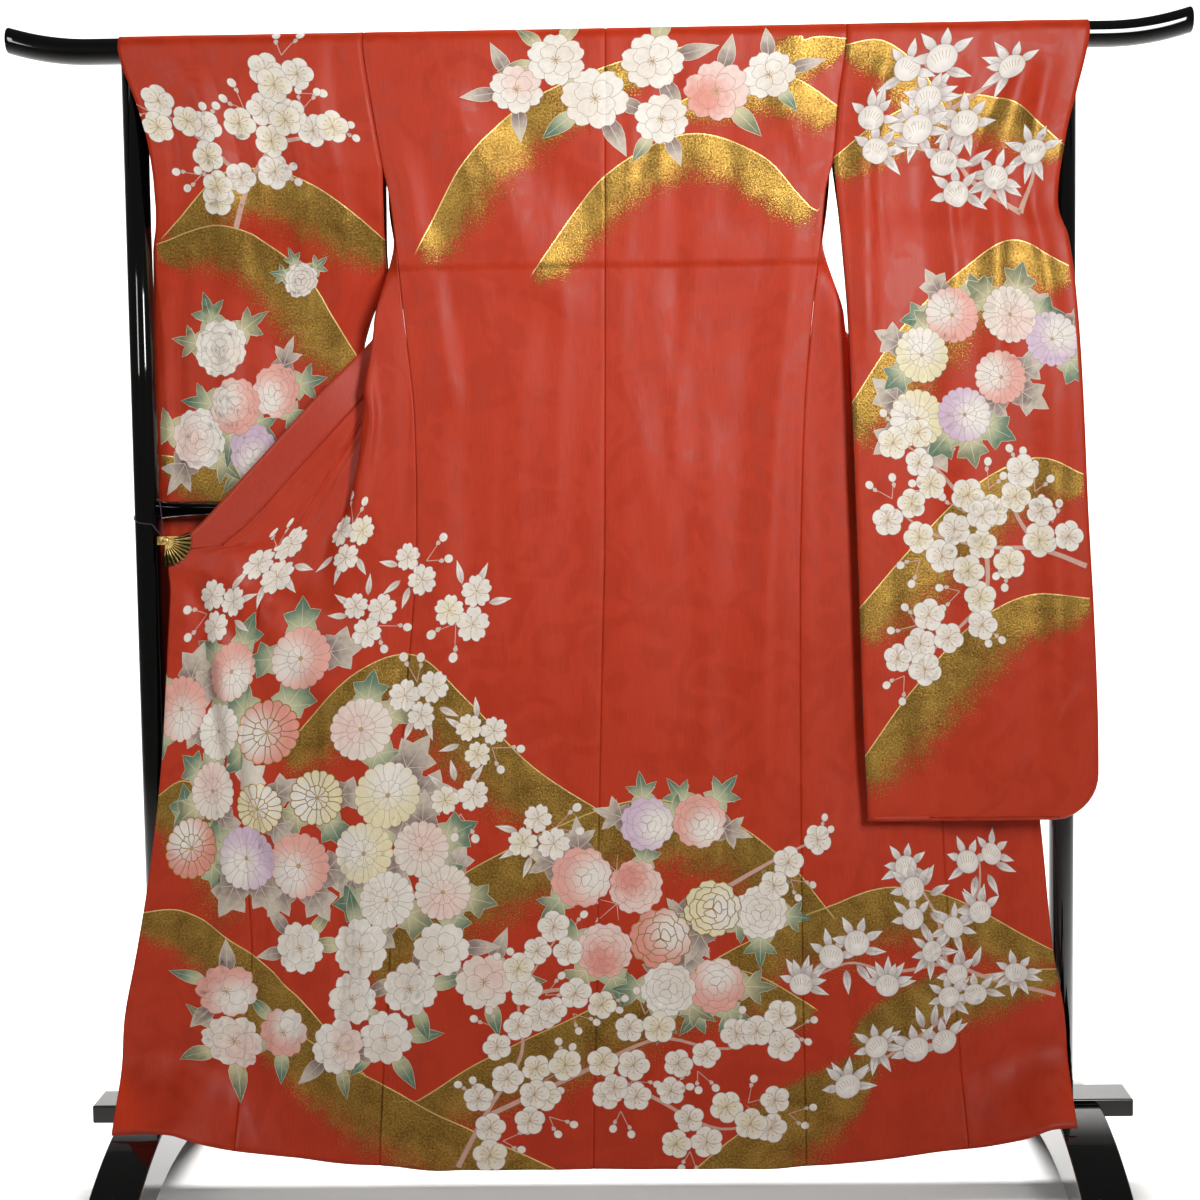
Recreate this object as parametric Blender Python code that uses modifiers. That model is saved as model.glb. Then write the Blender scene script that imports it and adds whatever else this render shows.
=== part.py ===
"""A long-sleeved formal kimono hung by its shoulders over the top bar of a lacquered rack.

The back of the garment faces -Y. Its fronts hang behind the bar, come forward below it and are opened out
to both sides. +Z is up, the origin is on the floor below the middle of the rack, and lengths are in metres.
"""
from collections import namedtuple
from math import cos, pi, sin, sqrt

import bmesh
import bpy

# Rack
BAR_RADIUS = 0.019
BAR_HEIGHT = 1.686
BAR_HALF_LENGTH = 0.855
BAR_STRAIGHT_HALF = 0.735
BAR_END_RISE = 0.018
POST_RADIUS = 0.0185
POST_REACH = 0.6715
MID_BAR_RADIUS = 0.0125
MID_BAR_HEIGHT = 1.020
TENON_DEPTH = 0.6
SADDLE_DEPTH = 0.5
PLANK_HALF_LENGTH = 0.772
PLANK_DEPTH = 0.078
PLANK_TOP = 0.135
PLANK_HEIGHT = 0.027
PLANK_BEVEL = 0.003
FOOT_INNER = 0.650
FOOT_OUTER = 0.722
FOOT_HALF_LENGTH = 0.385
FOOT_TOP = 0.128
FOOT_TOP_RADIUS = 0.70
FOOT_ARCH_HALF = 0.300
FOOT_ARCH_RISE = 0.052
FOOT_STEPS = 12
CONTACT = 0.0003

# Cloth
CLOTH = 0.0015
SEAM = 0.0003
ARMHOLE_GAP = 0.0010
BAR_CLEARANCE = 0.0007
OVER_BAR = BAR_RADIUS + BAR_CLEARANCE + CLOTH / 2
BAR_STEPS = 10
PANEL_COLUMNS = 10
LINE_STEPS = 10
OKUMI_COLUMNS = 4
ARMHOLE_END = 1.512
SIDE_SEAM_TOP = 1.388
OKUMI_TOP = 1.200
OKUMI_TIP = 0.72
OKUMI_TIP_GAP = 0.0009
COLLAR_WIDTH = 0.055
COLLAR_SLANT = 0.0717
COLLAR_END = 0.960
COLLAR_TOP = 1.655
NECK_Y = 0.0212
NECK_DROP = 0.0020
NECK_SHARES = (0.25, 0.50, 0.75)
COLLAR_TIP = 0.004
COLLAR_THICKNESS = 0.0018
TWIST_GAP = 0.0012
TURN_TOP = 1.300
TURN_END = 1.200
LEVELS = (1.655, 1.600, 1.555, ARMHOLE_END, 1.470, 1.430, SIDE_SEAM_TOP, 1.350, 1.325, 1.300, 1.275,
          1.250, OKUMI_TOP, 1.150, 1.080, 1.000, COLLAR_END, 0.900, 0.830, 0.750, 0.670, 0.590, 0.510,
          0.430, 0.350, 0.280, 0.215, 0.165, 0.130, 0.095, 0.065, 0.040)

BackRow = namedtuple("BackRow", "z centre left right depth")
BACK_ROWS = (
    BackRow(1.686, 0.0140, -0.3360, 0.3600, -0.0205),
    BackRow(1.600, 0.0130, -0.3245, 0.3480, -0.0240),
    BackRow(1.512, 0.0115, -0.3100, 0.3390, -0.0270),
    BackRow(1.470, 0.0110, -0.3010, 0.3280, -0.0285),
    BackRow(1.388, 0.0100, -0.2915, 0.3195, -0.0310),
    BackRow(1.300, 0.0085, -0.2830, 0.3080, -0.0330),
    BackRow(1.150, 0.0065, -0.2700, 0.2950, -0.0365),
    BackRow(0.940, 0.0030, -0.2710, 0.2870, -0.0410),
    BackRow(0.860, 0.0000, -0.2780, 0.2860, -0.0430),
    BackRow(0.590, -0.0090, -0.3050, 0.2850, -0.0470),
    BackRow(0.300, -0.0170, -0.3250, 0.2860, -0.0510),
    BackRow(0.040, -0.0250, -0.3420, 0.2890, -0.0550),
)

FrontRow = namedtuple("FrontRow", "z side side_y fold fold_y loop loop_y seam seam_y edge edge_y")
LEFT_FRONT = (
    FrontRow(1.686, -0.3360, 0.0205, -0.245, 0.0205, -0.160, 0.0205, -0.076, 0.0205, -0.020, 0.0205),
    FrontRow(1.655, -0.3320, 0.0215, -0.250, 0.0260, -0.165, 0.0270, -0.090, 0.0250, -0.024, 0.0230),
    FrontRow(1.600, -0.3245, 0.0220, -0.265, 0.0380, -0.170, 0.0450, -0.104, 0.0360, -0.036, 0.0230),
    FrontRow(1.512, -0.3100, 0.0200, -0.275, 0.0500, -0.185, 0.0680, -0.1470, 0.0500, -0.101, 0.0130),
    FrontRow(1.450, -0.3060, 0.0060, -0.2900, 0.0400, -0.2400, 0.0580, -0.2000, 0.0450, -0.1600, 0.0100),
    FrontRow(1.400, -0.2960, -0.0200, -0.2980, 0.0120, -0.2770, 0.0400, -0.2500, 0.0390, -0.2080, 0.0160),
    FrontRow(1.350, -0.2880, -0.0318, -0.3090, -0.0220, -0.3030, 0.0020, -0.2900, 0.0150, -0.2525, 0.0220),
    FrontRow(1.300, -0.2830, -0.0330, -0.3230, -0.0330, -0.3160, -0.0110, -0.3110, 0.0020, -0.3010, 0.0300),
    FrontRow(1.275, -0.2810, -0.0336, -0.3265, -0.0340, -0.3130, -0.0100, -0.3140, 0.0010, -0.3250, 0.0180),
    FrontRow(1.250, -0.2790, -0.0342, -0.3300, -0.0350, -0.3100, -0.0100, -0.3155, 0.0000, -0.3480, 0.0040),
    FrontRow(1.200, -0.2740, -0.0352, -0.3360, -0.0365, -0.3140, -0.0120, -0.3280, -0.0020, -0.3980, -0.0140),
    FrontRow(1.150, -0.2700, -0.0365, -0.3420, -0.0380, -0.3340, -0.0180, -0.3530, -0.0110, -0.4460, -0.0195),
    FrontRow(1.080, -0.2690, -0.0380, -0.348, -0.0400, -0.352, -0.0180, -0.3940, -0.0150, -0.513, -0.0205),
    FrontRow(1.000, -0.2700, -0.0400, -0.362, -0.0420, -0.385, -0.0250, -0.443, -0.0225, -0.589, -0.0215),
    FrontRow(0.960, -0.2705, -0.0406, -0.374, -0.0420, -0.408, -0.0280, -0.468, -0.0240, -0.634, -0.0215),
    FrontRow(0.900, -0.2740, -0.0418, -0.372, -0.0440, -0.430, -0.0320, -0.499, -0.0270, -0.636, -0.0230),
    FrontRow(0.830, -0.2800, -0.0436, -0.368, -0.0480, -0.436, -0.0380, -0.512, -0.0300, -0.641, -0.0250),
    FrontRow(0.670, -0.2960, -0.0460, -0.378, -0.0520, -0.450, -0.0440, -0.536, -0.0330, -0.653, -0.0270),
    FrontRow(0.510, -0.3100, -0.0482, -0.385, -0.0540, -0.455, -0.0480, -0.533, -0.0360, -0.674, -0.0290),
    FrontRow(0.350, -0.3215, -0.0503, -0.392, -0.0560, -0.460, -0.0500, -0.527, -0.0390, -0.701, -0.0330),
    FrontRow(0.215, -0.3305, -0.0523, -0.398, -0.0580, -0.465, -0.0540, -0.541, -0.0450, -0.720, -0.0420),
    FrontRow(0.040, -0.3420, -0.0550, -0.405, -0.0610, -0.475, -0.0580, -0.549, -0.0520, -0.721, -0.0540),
)
RIGHT_FRONT = (
    FrontRow(1.686, 0.3600, 0.0205, 0.270, 0.0205, 0.190, 0.0205, 0.104, 0.0205, 0.048, 0.0205),
    FrontRow(1.655, 0.3555, 0.0205, 0.275, 0.0260, 0.195, 0.0270, 0.116, 0.0250, 0.050, 0.0230),
    FrontRow(1.600, 0.3480, 0.0180, 0.290, 0.0360, 0.200, 0.0440, 0.130, 0.0360, 0.062, 0.0230),
    FrontRow(1.512, 0.3390, 0.0100, 0.300, 0.0460, 0.211, 0.0680, 0.1730, 0.0500, 0.127, 0.0130),
    FrontRow(1.450, 0.3330, -0.0020, 0.3140, 0.0360, 0.2640, 0.0560, 0.2260, 0.0450, 0.1850, 0.0100),
    FrontRow(1.400, 0.3240, -0.0220, 0.3220, 0.0100, 0.3020, 0.0390, 0.2760, 0.0390, 0.2330, 0.0160),
    FrontRow(1.350, 0.3140, -0.0318, 0.3340, -0.0210, 0.3290, 0.0030, 0.3160, 0.0150, 0.2785, 0.0220),
    FrontRow(1.300, 0.3080, -0.0330, 0.3490, -0.0310, 0.3420, -0.0100, 0.3370, 0.0030, 0.3270, 0.0300),
    FrontRow(1.275, 0.3055, -0.0336, 0.3525, -0.0320, 0.3390, -0.0090, 0.3400, 0.0010, 0.3510, 0.0180),
    FrontRow(1.250, 0.3030, -0.0342, 0.3560, -0.0330, 0.3360, -0.0100, 0.3415, 0.0000, 0.3740, 0.0040),
    FrontRow(1.200, 0.2985, -0.0352, 0.3580, -0.0345, 0.3390, -0.0120, 0.3530, -0.0020, 0.4210, -0.0140),
    FrontRow(1.150, 0.2950, -0.0365, 0.3600, -0.0360, 0.3540, -0.0180, 0.3730, -0.0115, 0.4630, -0.0185),
    FrontRow(1.080, 0.2925, -0.0380, 0.362, -0.0375, 0.368, -0.0220, 0.404, -0.0190, 0.515, -0.0210),
    FrontRow(1.000, 0.2895, -0.0400, 0.366, -0.0390, 0.392, -0.0250, 0.436, -0.0225, 0.575, -0.0215),
    FrontRow(0.960, 0.2880, -0.0406, 0.368, -0.0400, 0.405, -0.0270, 0.446, -0.0240, 0.590, -0.0220),
    FrontRow(0.900, 0.2865, -0.0418, 0.366, -0.0410, 0.415, -0.0300, 0.456, -0.0270, 0.595, -0.0230),
    FrontRow(0.830, 0.2860, -0.0436, 0.362, -0.0420, 0.418, -0.0330, 0.468, -0.0290, 0.602, -0.0250),
    FrontRow(0.670, 0.2850, -0.0460, 0.360, -0.0440, 0.422, -0.0380, 0.486, -0.0330, 0.622, -0.0270),
    FrontRow(0.510, 0.2852, -0.0482, 0.362, -0.0500, 0.428, -0.0460, 0.494, -0.0360, 0.640, -0.0290),
    FrontRow(0.350, 0.2858, -0.0503, 0.364, -0.0540, 0.434, -0.0500, 0.504, -0.0400, 0.654, -0.0330),
    FrontRow(0.215, 0.2867, -0.0523, 0.366, -0.0570, 0.440, -0.0540, 0.514, -0.0460, 0.670, -0.0420),
    FrontRow(0.040, 0.2890, -0.0550, 0.370, -0.0600, 0.448, -0.0580, 0.523, -0.0520, 0.672, -0.0540),
)

# Soft folds of the hanging back: place across, levels where each fades in and out, half width, and height
# toward -Y
Fold = namedtuple("Fold", "x_top x_foot z_top z_foot half_width height")
BACK_FOLDS = (
    Fold(-0.215, -0.262, 1.20, 0.04, 0.030, 0.007),
    Fold(-0.140, -0.175, 0.90, 0.04, 0.032, 0.005),
    Fold(-0.060, -0.085, 0.70, 0.04, 0.040, 0.004),
    Fold(0.060, 0.050, 0.62, 0.04, 0.040, 0.004),
    Fold(0.150, 0.140, 0.85, 0.04, 0.034, 0.005),
    Fold(0.235, 0.222, 1.25, 0.04, 0.030, 0.007),
)

# How far the hem rises and swings out toward the ends, where the fronts rest over the arched feet
HemRow = namedtuple("HemRow", "reach rise")
HEM_ROWS = (
    HemRow(0.25, 0.000),
    HemRow(0.32, 0.005),
    HemRow(0.44, 0.018),
    HemRow(0.52, 0.036),
    HemRow(0.60, 0.066),
    HemRow(0.64, 0.082),
    HemRow(0.73, 0.082),
)
HEM_REACH_TOP = 0.45
HEM_SWING = 0.096
HEM_SWING_START = 0.44
HEM_SWING_END = 0.63
HEM_SWING_TOP = 0.170

SleeveRow = namedtuple("SleeveRow", "z inner outer near_y outer_far far_y")
SLEEVE_BOTTOM = 0.562
SLEEVE_CORNER = 0.062
CUFF_END = 1.440
SLEEVE_LEVELS = (1.655, 1.600, 1.555, ARMHOLE_END, 1.475, CUFF_END, 1.400, 1.350, 1.300, 1.250, 1.180,
                 1.100, 1.020, 0.940, 0.860, 0.780, 0.700, 0.640, 0.612, 0.590, 0.574, 0.564)
SLEEVE_COLUMNS = 8
SLEEVE_CLOSURE = 3
CLOSURE_BULGE = 0.007
RIGHT_SLEEVE = (
    SleeveRow(1.686, 0.3603, 0.7060, -0.0205, 0.7060, 0.0205),
    SleeveRow(1.600, 0.3483, 0.6860, -0.0245, 0.6860, 0.0220),
    SleeveRow(1.555, 0.3433, 0.6740, -0.0265, 0.6680, 0.0220),
    SleeveRow(1.512, 0.3393, 0.6660, -0.0290, 0.6480, 0.0100),
    SleeveRow(1.475, 0.3420, 0.6600, -0.0330, 0.6400, -0.0040),
    SleeveRow(1.440, 0.3450, 0.6580, -0.0390, 0.6460, -0.0220),
    SleeveRow(1.400, 0.3480, 0.6640, -0.0500, 0.6640, -0.0340),
    SleeveRow(1.300, 0.3550, 0.6760, -0.0610, 0.6760, -0.0480),
    SleeveRow(1.180, 0.3600, 0.6840, -0.0660, 0.6840, -0.0540),
    SleeveRow(1.000, 0.3660, 0.6920, -0.0680, 0.6920, -0.0560),
    SleeveRow(0.860, 0.3700, 0.7000, -0.0690, 0.7000, -0.0570),
    SleeveRow(0.700, 0.3745, 0.7060, -0.0700, 0.7060, -0.0570),
    SleeveRow(0.562, 0.3800, 0.7080, -0.0700, 0.7080, -0.0590),
)
LEFT_SLEEVE = (
    SleeveRow(1.686, -0.3363, -0.6900, -0.0205, -0.6900, 0.0205),
    SleeveRow(1.600, -0.3248, -0.6620, -0.0240, -0.6680, 0.0240),
    SleeveRow(1.555, -0.3178, -0.6460, -0.0240, -0.6600, 0.0245),
    SleeveRow(1.512, -0.3103, -0.6380, -0.0230, -0.6520, 0.0220),
    SleeveRow(1.475, -0.3105, -0.6360, -0.0190, -0.6460, 0.0230),
    SleeveRow(1.440, -0.3110, -0.6370, -0.0140, -0.6420, 0.0240),
    SleeveRow(1.400, -0.3115, -0.6390, -0.0030, -0.6390, 0.0260),
    SleeveRow(1.350, -0.3125, -0.6395, 0.0070, -0.6395, 0.0290),
    SleeveRow(1.300, -0.3350, -0.6400, 0.0140, -0.6400, 0.0320),
    SleeveRow(1.250, -0.3500, -0.6405, 0.0180, -0.6405, 0.0340),
    SleeveRow(1.180, -0.3580, -0.6410, 0.0185, -0.6410, 0.0345),
    SleeveRow(1.000, -0.3620, -0.6440, 0.0190, -0.6440, 0.0360),
    SleeveRow(0.860, -0.3600, -0.6580, 0.0240, -0.6580, 0.0380),
    SleeveRow(0.700, -0.3640, -0.6720, 0.0250, -0.6720, 0.0390),
    SleeveRow(0.562, -0.3680, -0.6760, 0.0260, -0.6760, 0.0380),
)

# Fan clip on the left front edge, and its cord round the post and over the rail
CLIP_X = -0.640
CLIP_Z = 0.976
CLIP_Y = -0.0238
CLIP_RADIUS = 0.036
CLIP_HUB_RADIUS = 0.0055
CLIP_HUB_DEPTH = 0.0040
CLIP_PLATE = 0.0018
CLIP_NOTCH = 0.0022
CLIP_RIBS = 11
CLIP_FIRST_RIB = 18.0
CLIP_LAST_RIB = -100.0
JAW_REACH = 0.0125
JAW_HOLD = 0.0180
JAW_WALL = 0.0016
JAW_HEIGHT = 0.0120
JAW_Y = -0.0203
CORD_RADIUS = 0.0008
CORD_STEPS = 20
CORD_ANGLE = -pi / 3
CORD_TURN = 0.92
CORD_LOW = 1.000
CORD_HIGH = 1.036
CORD_START = (-0.6468, -0.0236, 0.9834)
CORD_RETURN = ((-0.6500, -0.0125, 1.0335), (-0.6475, -0.0168, 1.0200), (-0.6452, -0.0205, 1.0000),
               (-0.6440, -0.0232, 0.9834))


def clear_scene():
    """Remove whatever the file holds."""
    for old in list(bpy.data.objects):
        bpy.data.objects.remove(old, do_unlink=True)


def new_collection(name):
    """Add a collection to the scene."""
    made = bpy.data.collections.new(name)
    bpy.context.scene.collection.children.link(made)
    return made


def new_material(name, colour, roughness, metallic=0.0):
    """Make a plain Principled material."""
    made = bpy.data.materials.new(name)
    made.use_nodes = True
    shader = made.node_tree.nodes["Principled BSDF"]
    shader.inputs["Base Color"].default_value = (*colour, 1.0)
    shader.inputs["Roughness"].default_value = roughness
    shader.inputs["Metallic"].default_value = metallic
    made.diffuse_color = (*colour, 1.0)
    return made


def keep(thing, name, collection, material):
    """Name an object, give it its material and move it to its collection."""
    thing.name = name
    thing.data.name = name
    for holder in list(thing.users_collection):
        holder.objects.unlink(thing)
    collection.objects.link(thing)
    thing.data.materials.clear()
    thing.data.materials.append(material)
    return thing


def mesh_object(name, bm, collection, material, smooth=True):
    """Turn a bmesh into a named object."""
    bmesh.ops.recalc_face_normals(bm, faces=bm.faces)
    mesh = bpy.data.meshes.new(name)
    bm.to_mesh(mesh)
    bm.free()
    if smooth:
        mesh.shade_smooth()
    return keep(bpy.data.objects.new(name, mesh), name, collection, material)


def ease(value):
    """Rise smoothly from 0 to 1 while the value does."""
    held = min(1.0, max(0.0, value))
    return held * held * (3.0 - 2.0 * held)


def hermite(before, start, end, after, places, place):
    """Read a smooth curve between two of four known values."""
    p0, p1, p2, p3 = places
    span = p2 - p1
    slope_start = (end - before) / (p2 - p0) * span
    slope_end = (after - start) / (p3 - p1) * span
    t = (place - p1) / span
    return ((2 * t**3 - 3 * t**2 + 1) * start + (t**3 - 2 * t**2 + t) * slope_start
            + (3 * t**2 - 2 * t**3) * end + (t**3 - t**2) * slope_end)


def row_at(rows, place):
    """Blend a table's rows at a place in its first column."""
    ordered = sorted(rows)
    place = min(max(place, ordered[0][0]), ordered[-1][0])
    index = 0
    while index < len(ordered) - 2 and place > ordered[index + 1][0]:
        index += 1
    first = ordered[index]
    second = ordered[index + 1]
    before = ordered[index - 1] if index else None
    after = ordered[index + 2] if index + 2 < len(ordered) else None
    values = [place]
    for column in range(1, len(first)):
        start, end = first[column], second[column]
        span = second[0] - first[0]
        low = before[column] if before else start
        low_place = before[0] if before else first[0] - span
        high = after[column] if after else end
        high_place = after[0] if after else second[0] + span
        values.append(hermite(low, start, end, high, (low_place, first[0], second[0], high_place), place))
    return type(first)(*values)


def smooth_line(points):
    """Draw a smooth line through a few points, with a fixed number of steps between each two."""
    ends = [points[0]] + list(points) + [points[-1]]
    line = []
    for a, b, c, d in zip(ends, ends[1:], ends[2:], ends[3:]):
        for step in range(LINE_STEPS):
            t = step / LINE_STEPS
            line.append(tuple(0.5 * (2 * q + (r - p) * t + (2 * p - 5 * q + 4 * r - s) * t * t
                                     + (3 * q - p - 3 * r + s) * t**3) for p, q, r, s in zip(a, b, c, d)))
    line.append(tuple(points[-1]))
    return line


def run_lengths(line):
    """Measure how far along a line each of its points lies."""
    lengths = [0.0]
    for start, end in zip(line, line[1:]):
        lengths.append(lengths[-1] + sqrt(sum((p - q) ** 2 for p, q in zip(start, end))))
    return lengths


def back_depth(x, z):
    """Say how far toward -Y the hanging back lies, folds included."""
    depth = row_at(BACK_ROWS, z).depth
    for fold in BACK_FOLDS:
        along = (fold.z_top - z) / (fold.z_top - fold.z_foot)
        middle = fold.x_top + (fold.x_foot - fold.x_top) * along
        across = max(0.0, 1.0 - ((x - middle) / (2 * fold.half_width)) ** 2) ** 2
        depth -= fold.height * ease(along / 0.4) * across
    return depth


def hem_point(x, y, z):
    """Lift and swing the lowest cloth where the hem rises toward the ends."""
    rise = row_at(HEM_ROWS, abs(x)).rise * ease((HEM_REACH_TOP - z) / HEM_REACH_TOP)
    out = ease((abs(x) - HEM_SWING_START) / (HEM_SWING_END - HEM_SWING_START))
    swing = HEM_SWING * out * ease((HEM_SWING_TOP - z) / HEM_SWING_TOP) ** 1.2
    return (x, y - swing, z + rise)


def bar_arc(step):
    """Give the cloth's offset from the bar's middle line as it passes over the bar."""
    angle = pi * step / BAR_STEPS
    return (-OVER_BAR * cos(angle), OVER_BAR * sin(angle))


def back_row(side, z):
    """Lay one row of a back panel from the centre seam to its side edge."""
    row = row_at(BACK_ROWS, z)
    inner = row.centre + side * SEAM / 2
    outer = row.left if side < 0 else row.right
    spots = (inner + (outer - inner) * column / (PANEL_COLUMNS - 1) for column in range(PANEL_COLUMNS))
    return [hem_point(x, back_depth(x, z), z) for x in spots]


def over_bar_row(inner, outer, step):
    """Lay one row of cloth on the bar."""
    y, up = bar_arc(step)
    return [(inner + (outer - inner) * column / (PANEL_COLUMNS - 1), y, BAR_HEIGHT + up)
            for column in range(PANEL_COLUMNS)]


def front_line(side, z):
    """Draw one level of a front from its side edge to its free edge, and say how far along its seam lies."""
    row = row_at(LEFT_FRONT if side < 0 else RIGHT_FRONT, z)
    if z <= SIDE_SEAM_TOP:
        back = row_at(BACK_ROWS, z)
        edge = back.left if side < 0 else back.right
        turned = ease((z - TURN_END) / (TURN_TOP - TURN_END))
        start = (edge + side * (SEAM + CLOTH / 2 * turned), back_depth(edge, z))
    else:
        start = (row.side - side * (ARMHOLE_GAP - SEAM), row.side_y)
    marks = (start, (row.fold, row.fold_y), (row.loop, row.loop_y), (row.seam, row.seam_y),
             (row.edge, row.edge_y))
    line = smooth_line(marks)
    return line, run_lengths(line)[3 * LINE_STEPS]


def part_of(line, first, last, count):
    """Spread points evenly along the stretch of a line between two distances."""
    lengths = run_lengths(line)
    spread = []
    for step in range(count):
        goal = first + (last - first) * step / (count - 1)
        index = 0
        while index < len(line) - 2 and lengths[index + 1] < goal:
            index += 1
        share = (goal - lengths[index]) / max(1e-9, lengths[index + 1] - lengths[index])
        spread.append(tuple(p + (q - p) * share for p, q in zip(line[index], line[index + 1])))
    return spread


def collar_start(line, seam, z):
    """Say how far along a level the collar begins."""
    whole = run_lengths(line)[-1]
    if z >= OKUMI_TOP:
        return seam
    if z > COLLAR_END:
        return max(seam, whole - COLLAR_SLANT)
    return whole


def front_row(side, z):
    """Lay one row of a front panel from its inner seam to its side edge."""
    line, seam = front_line(side, z)
    return [hem_point(x, y, z) for x, y in part_of(line, seam - SEAM / 2, 0.0, PANEL_COLUMNS)]


def sheet(bm_rows, wall, name, collection, material):
    """Make a walled sheet from rows of points."""
    bm = bmesh.new()
    grid = [[bm.verts.new(point) for point in row] for row in bm_rows]
    for low, high in zip(grid, grid[1:]):
        for index in range(len(low) - 1):
            bm.faces.new((low[index], low[index + 1], high[index + 1], high[index]))
    made = mesh_object(name, bm, collection, material)
    add_wall(made, wall)
    return made


def add_wall(thing, wall):
    """Give an open sheet its thickness, half to each side."""
    solid = thing.modifiers.new("Wall", "SOLIDIFY")
    solid.thickness = wall
    solid.offset = 0.0
    solid.use_even_offset = False


def build_body(side, collection, material):
    """Make one cut length: a back panel, over the shoulder, and the front panel that it becomes."""
    outer = BACK_ROWS[0].left if side < 0 else BACK_ROWS[0].right
    rows = [back_row(side, z) for z in reversed(LEVELS)]
    centre = BACK_ROWS[0].centre + side * SEAM / 2
    rows += [over_bar_row(centre, outer, step) for step in range(BAR_STEPS + 1)]
    rows += [front_row(side, z) for z in LEVELS]
    return sheet(rows, CLOTH, "left_body" if side < 0 else "right_body", collection, material)


def build_okumi(side, collection, material):
    """Make the narrow overlap panel between a front and its free edge."""
    rows = []
    for z in (level for level in LEVELS if level < OKUMI_TOP):
        line, seam = front_line(side, z)
        end = collar_start(line, seam, z) - SEAM / 2
        rows.append([hem_point(x, y, z) for x, y in part_of(line, seam + SEAM / 2, end, OKUMI_COLUMNS)])
    line, seam = front_line(side, OKUMI_TOP)
    tip = (*part_of(line, seam + OKUMI_TIP_GAP, seam + COLLAR_WIDTH, 2)[0], OKUMI_TOP)
    rows.insert(0, [tuple(p + (q - p) * OKUMI_TIP for p, q in zip(point, tip)) for point in rows[0]])
    return sheet(rows, CLOTH, "left_okumi" if side < 0 else "right_okumi", collection, material)


def sleeve_row(table, z, near):
    """Lay one level of a sleeve layer from its inner edge to its outer edge, round at the lower corner."""
    row = row_at(table, z)
    side = 1 if row.outer > 0 else -1
    above = z - SLEEVE_BOTTOM
    pull = 0.0
    if above < SLEEVE_CORNER:
        pull = SLEEVE_CORNER - sqrt(SLEEVE_CORNER**2 - (SLEEVE_CORNER - above) ** 2)
    outer = (row.outer if near else row.outer_far) - side * pull
    y = row.near_y if near else row.far_y
    inner, inner_y = row.inner, y
    if z >= ARMHOLE_END:
        if near:
            body = row_at(BACK_ROWS, z)
            inner, inner_y = (body.left if side < 0 else body.right), body.depth
        else:
            body = row_at(LEFT_FRONT if side < 0 else RIGHT_FRONT, z)
            inner, inner_y = body.side, body.side_y
        inner += side * SEAM
    shares = (column / (SLEEVE_COLUMNS - 1) for column in range(SLEEVE_COLUMNS))
    return [(inner + (outer - inner) * share, y + (inner_y - y) * ease(1 - 3 * share), z) for share in shares]


def closing_arc(near_point, far_point, outward, bulge):
    """Round the join between a near point and a far point, bulging outward."""
    points = []
    for step in range(1, SLEEVE_CLOSURE + 1):
        angle = pi * step / (SLEEVE_CLOSURE + 1)
        middle = [(p + q) / 2 - cos(angle) * (q - p) / 2 for p, q in zip(near_point, far_point)]
        points.append((middle[0] + outward[0] * bulge * sin(angle), middle[1],
                       middle[2] + outward[1] * bulge * sin(angle)))
    return points


def build_sleeve(table, name, collection, material):
    """Make a long hanging sleeve: two layers over the bar, shut along the outer edge and the bottom."""
    side = 1 if table[0].outer > 0 else -1
    near_levels = list(reversed(SLEEVE_LEVELS))
    rows = [sleeve_row(table, z, True) for z in near_levels]
    top = table[0]
    for step in range(BAR_STEPS + 1):
        y, up = bar_arc(step)
        rows.append([(top.inner + (top.outer - top.inner) * column / (SLEEVE_COLUMNS - 1), y, BAR_HEIGHT + up)
                     for column in range(SLEEVE_COLUMNS)])
    rows += [sleeve_row(table, z, False) for z in SLEEVE_LEVELS]
    bm = bmesh.new()
    grid = [[bm.verts.new(point) for point in row] for row in rows]
    for low, high in zip(grid, grid[1:]):
        for index in range(SLEEVE_COLUMNS - 1):
            bm.faces.new((low[index], low[index + 1], high[index + 1], high[index]))
    shut = [index for index, z in enumerate(near_levels) if z <= CUFF_END]
    rim = [(0, column) for column in range(SLEEVE_COLUMNS - 1)] + [(row, SLEEVE_COLUMNS - 1) for row in shut]
    last = len(rows) - 1
    strips = []
    for row, column in rim:
        near_vert = grid[row][column]
        far_vert = grid[last - row][column]
        level = near_levels[row]
        turn = ease((SLEEVE_CORNER - (level - SLEEVE_BOTTOM)) / SLEEVE_CORNER) * pi / 2
        outward = (side * cos(turn), -sin(turn))
        if column < SLEEVE_COLUMNS - 1:
            outward = (0.0, -1.0)
        gap = (far_vert.co - near_vert.co).length
        arc = closing_arc(near_vert.co, far_vert.co, outward, min(gap / 2, CLOSURE_BULGE))
        strips.append([near_vert] + [bm.verts.new(point) for point in arc] + [far_vert])
    for first, second in zip(strips, strips[1:]):
        for index in range(len(first) - 1):
            bm.faces.new((first[index], first[index + 1], second[index + 1], second[index]))
    made = mesh_object(name, bm, collection, material)
    add_wall(made, CLOTH)
    return made


def collar_rows():
    """Follow the collar from one front, round the neck behind the bar, to the other front."""
    levels = [z for z in reversed(LEVELS) if COLLAR_END <= z <= COLLAR_TOP]
    halves = []
    for side in (-1, 1):
        half = []
        for z in levels:
            line, seam = front_line(side, z)
            whole = run_lengths(line)[-1]
            start = collar_start(line, seam, z) + (SEAM / 2 if z < OKUMI_TOP else TWIST_GAP)
            lift = 0.0
            if z == COLLAR_END:
                start, lift = whole - COLLAR_TIP, COLLAR_TIP / 2
            half.append([(x, y, z + lift) for x, y in part_of(line, start, whole, 3)])
        halves.append(half)
    left, right = halves
    right.reverse()
    return left + neck_rows(left[-1], right[0]) + right


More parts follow.
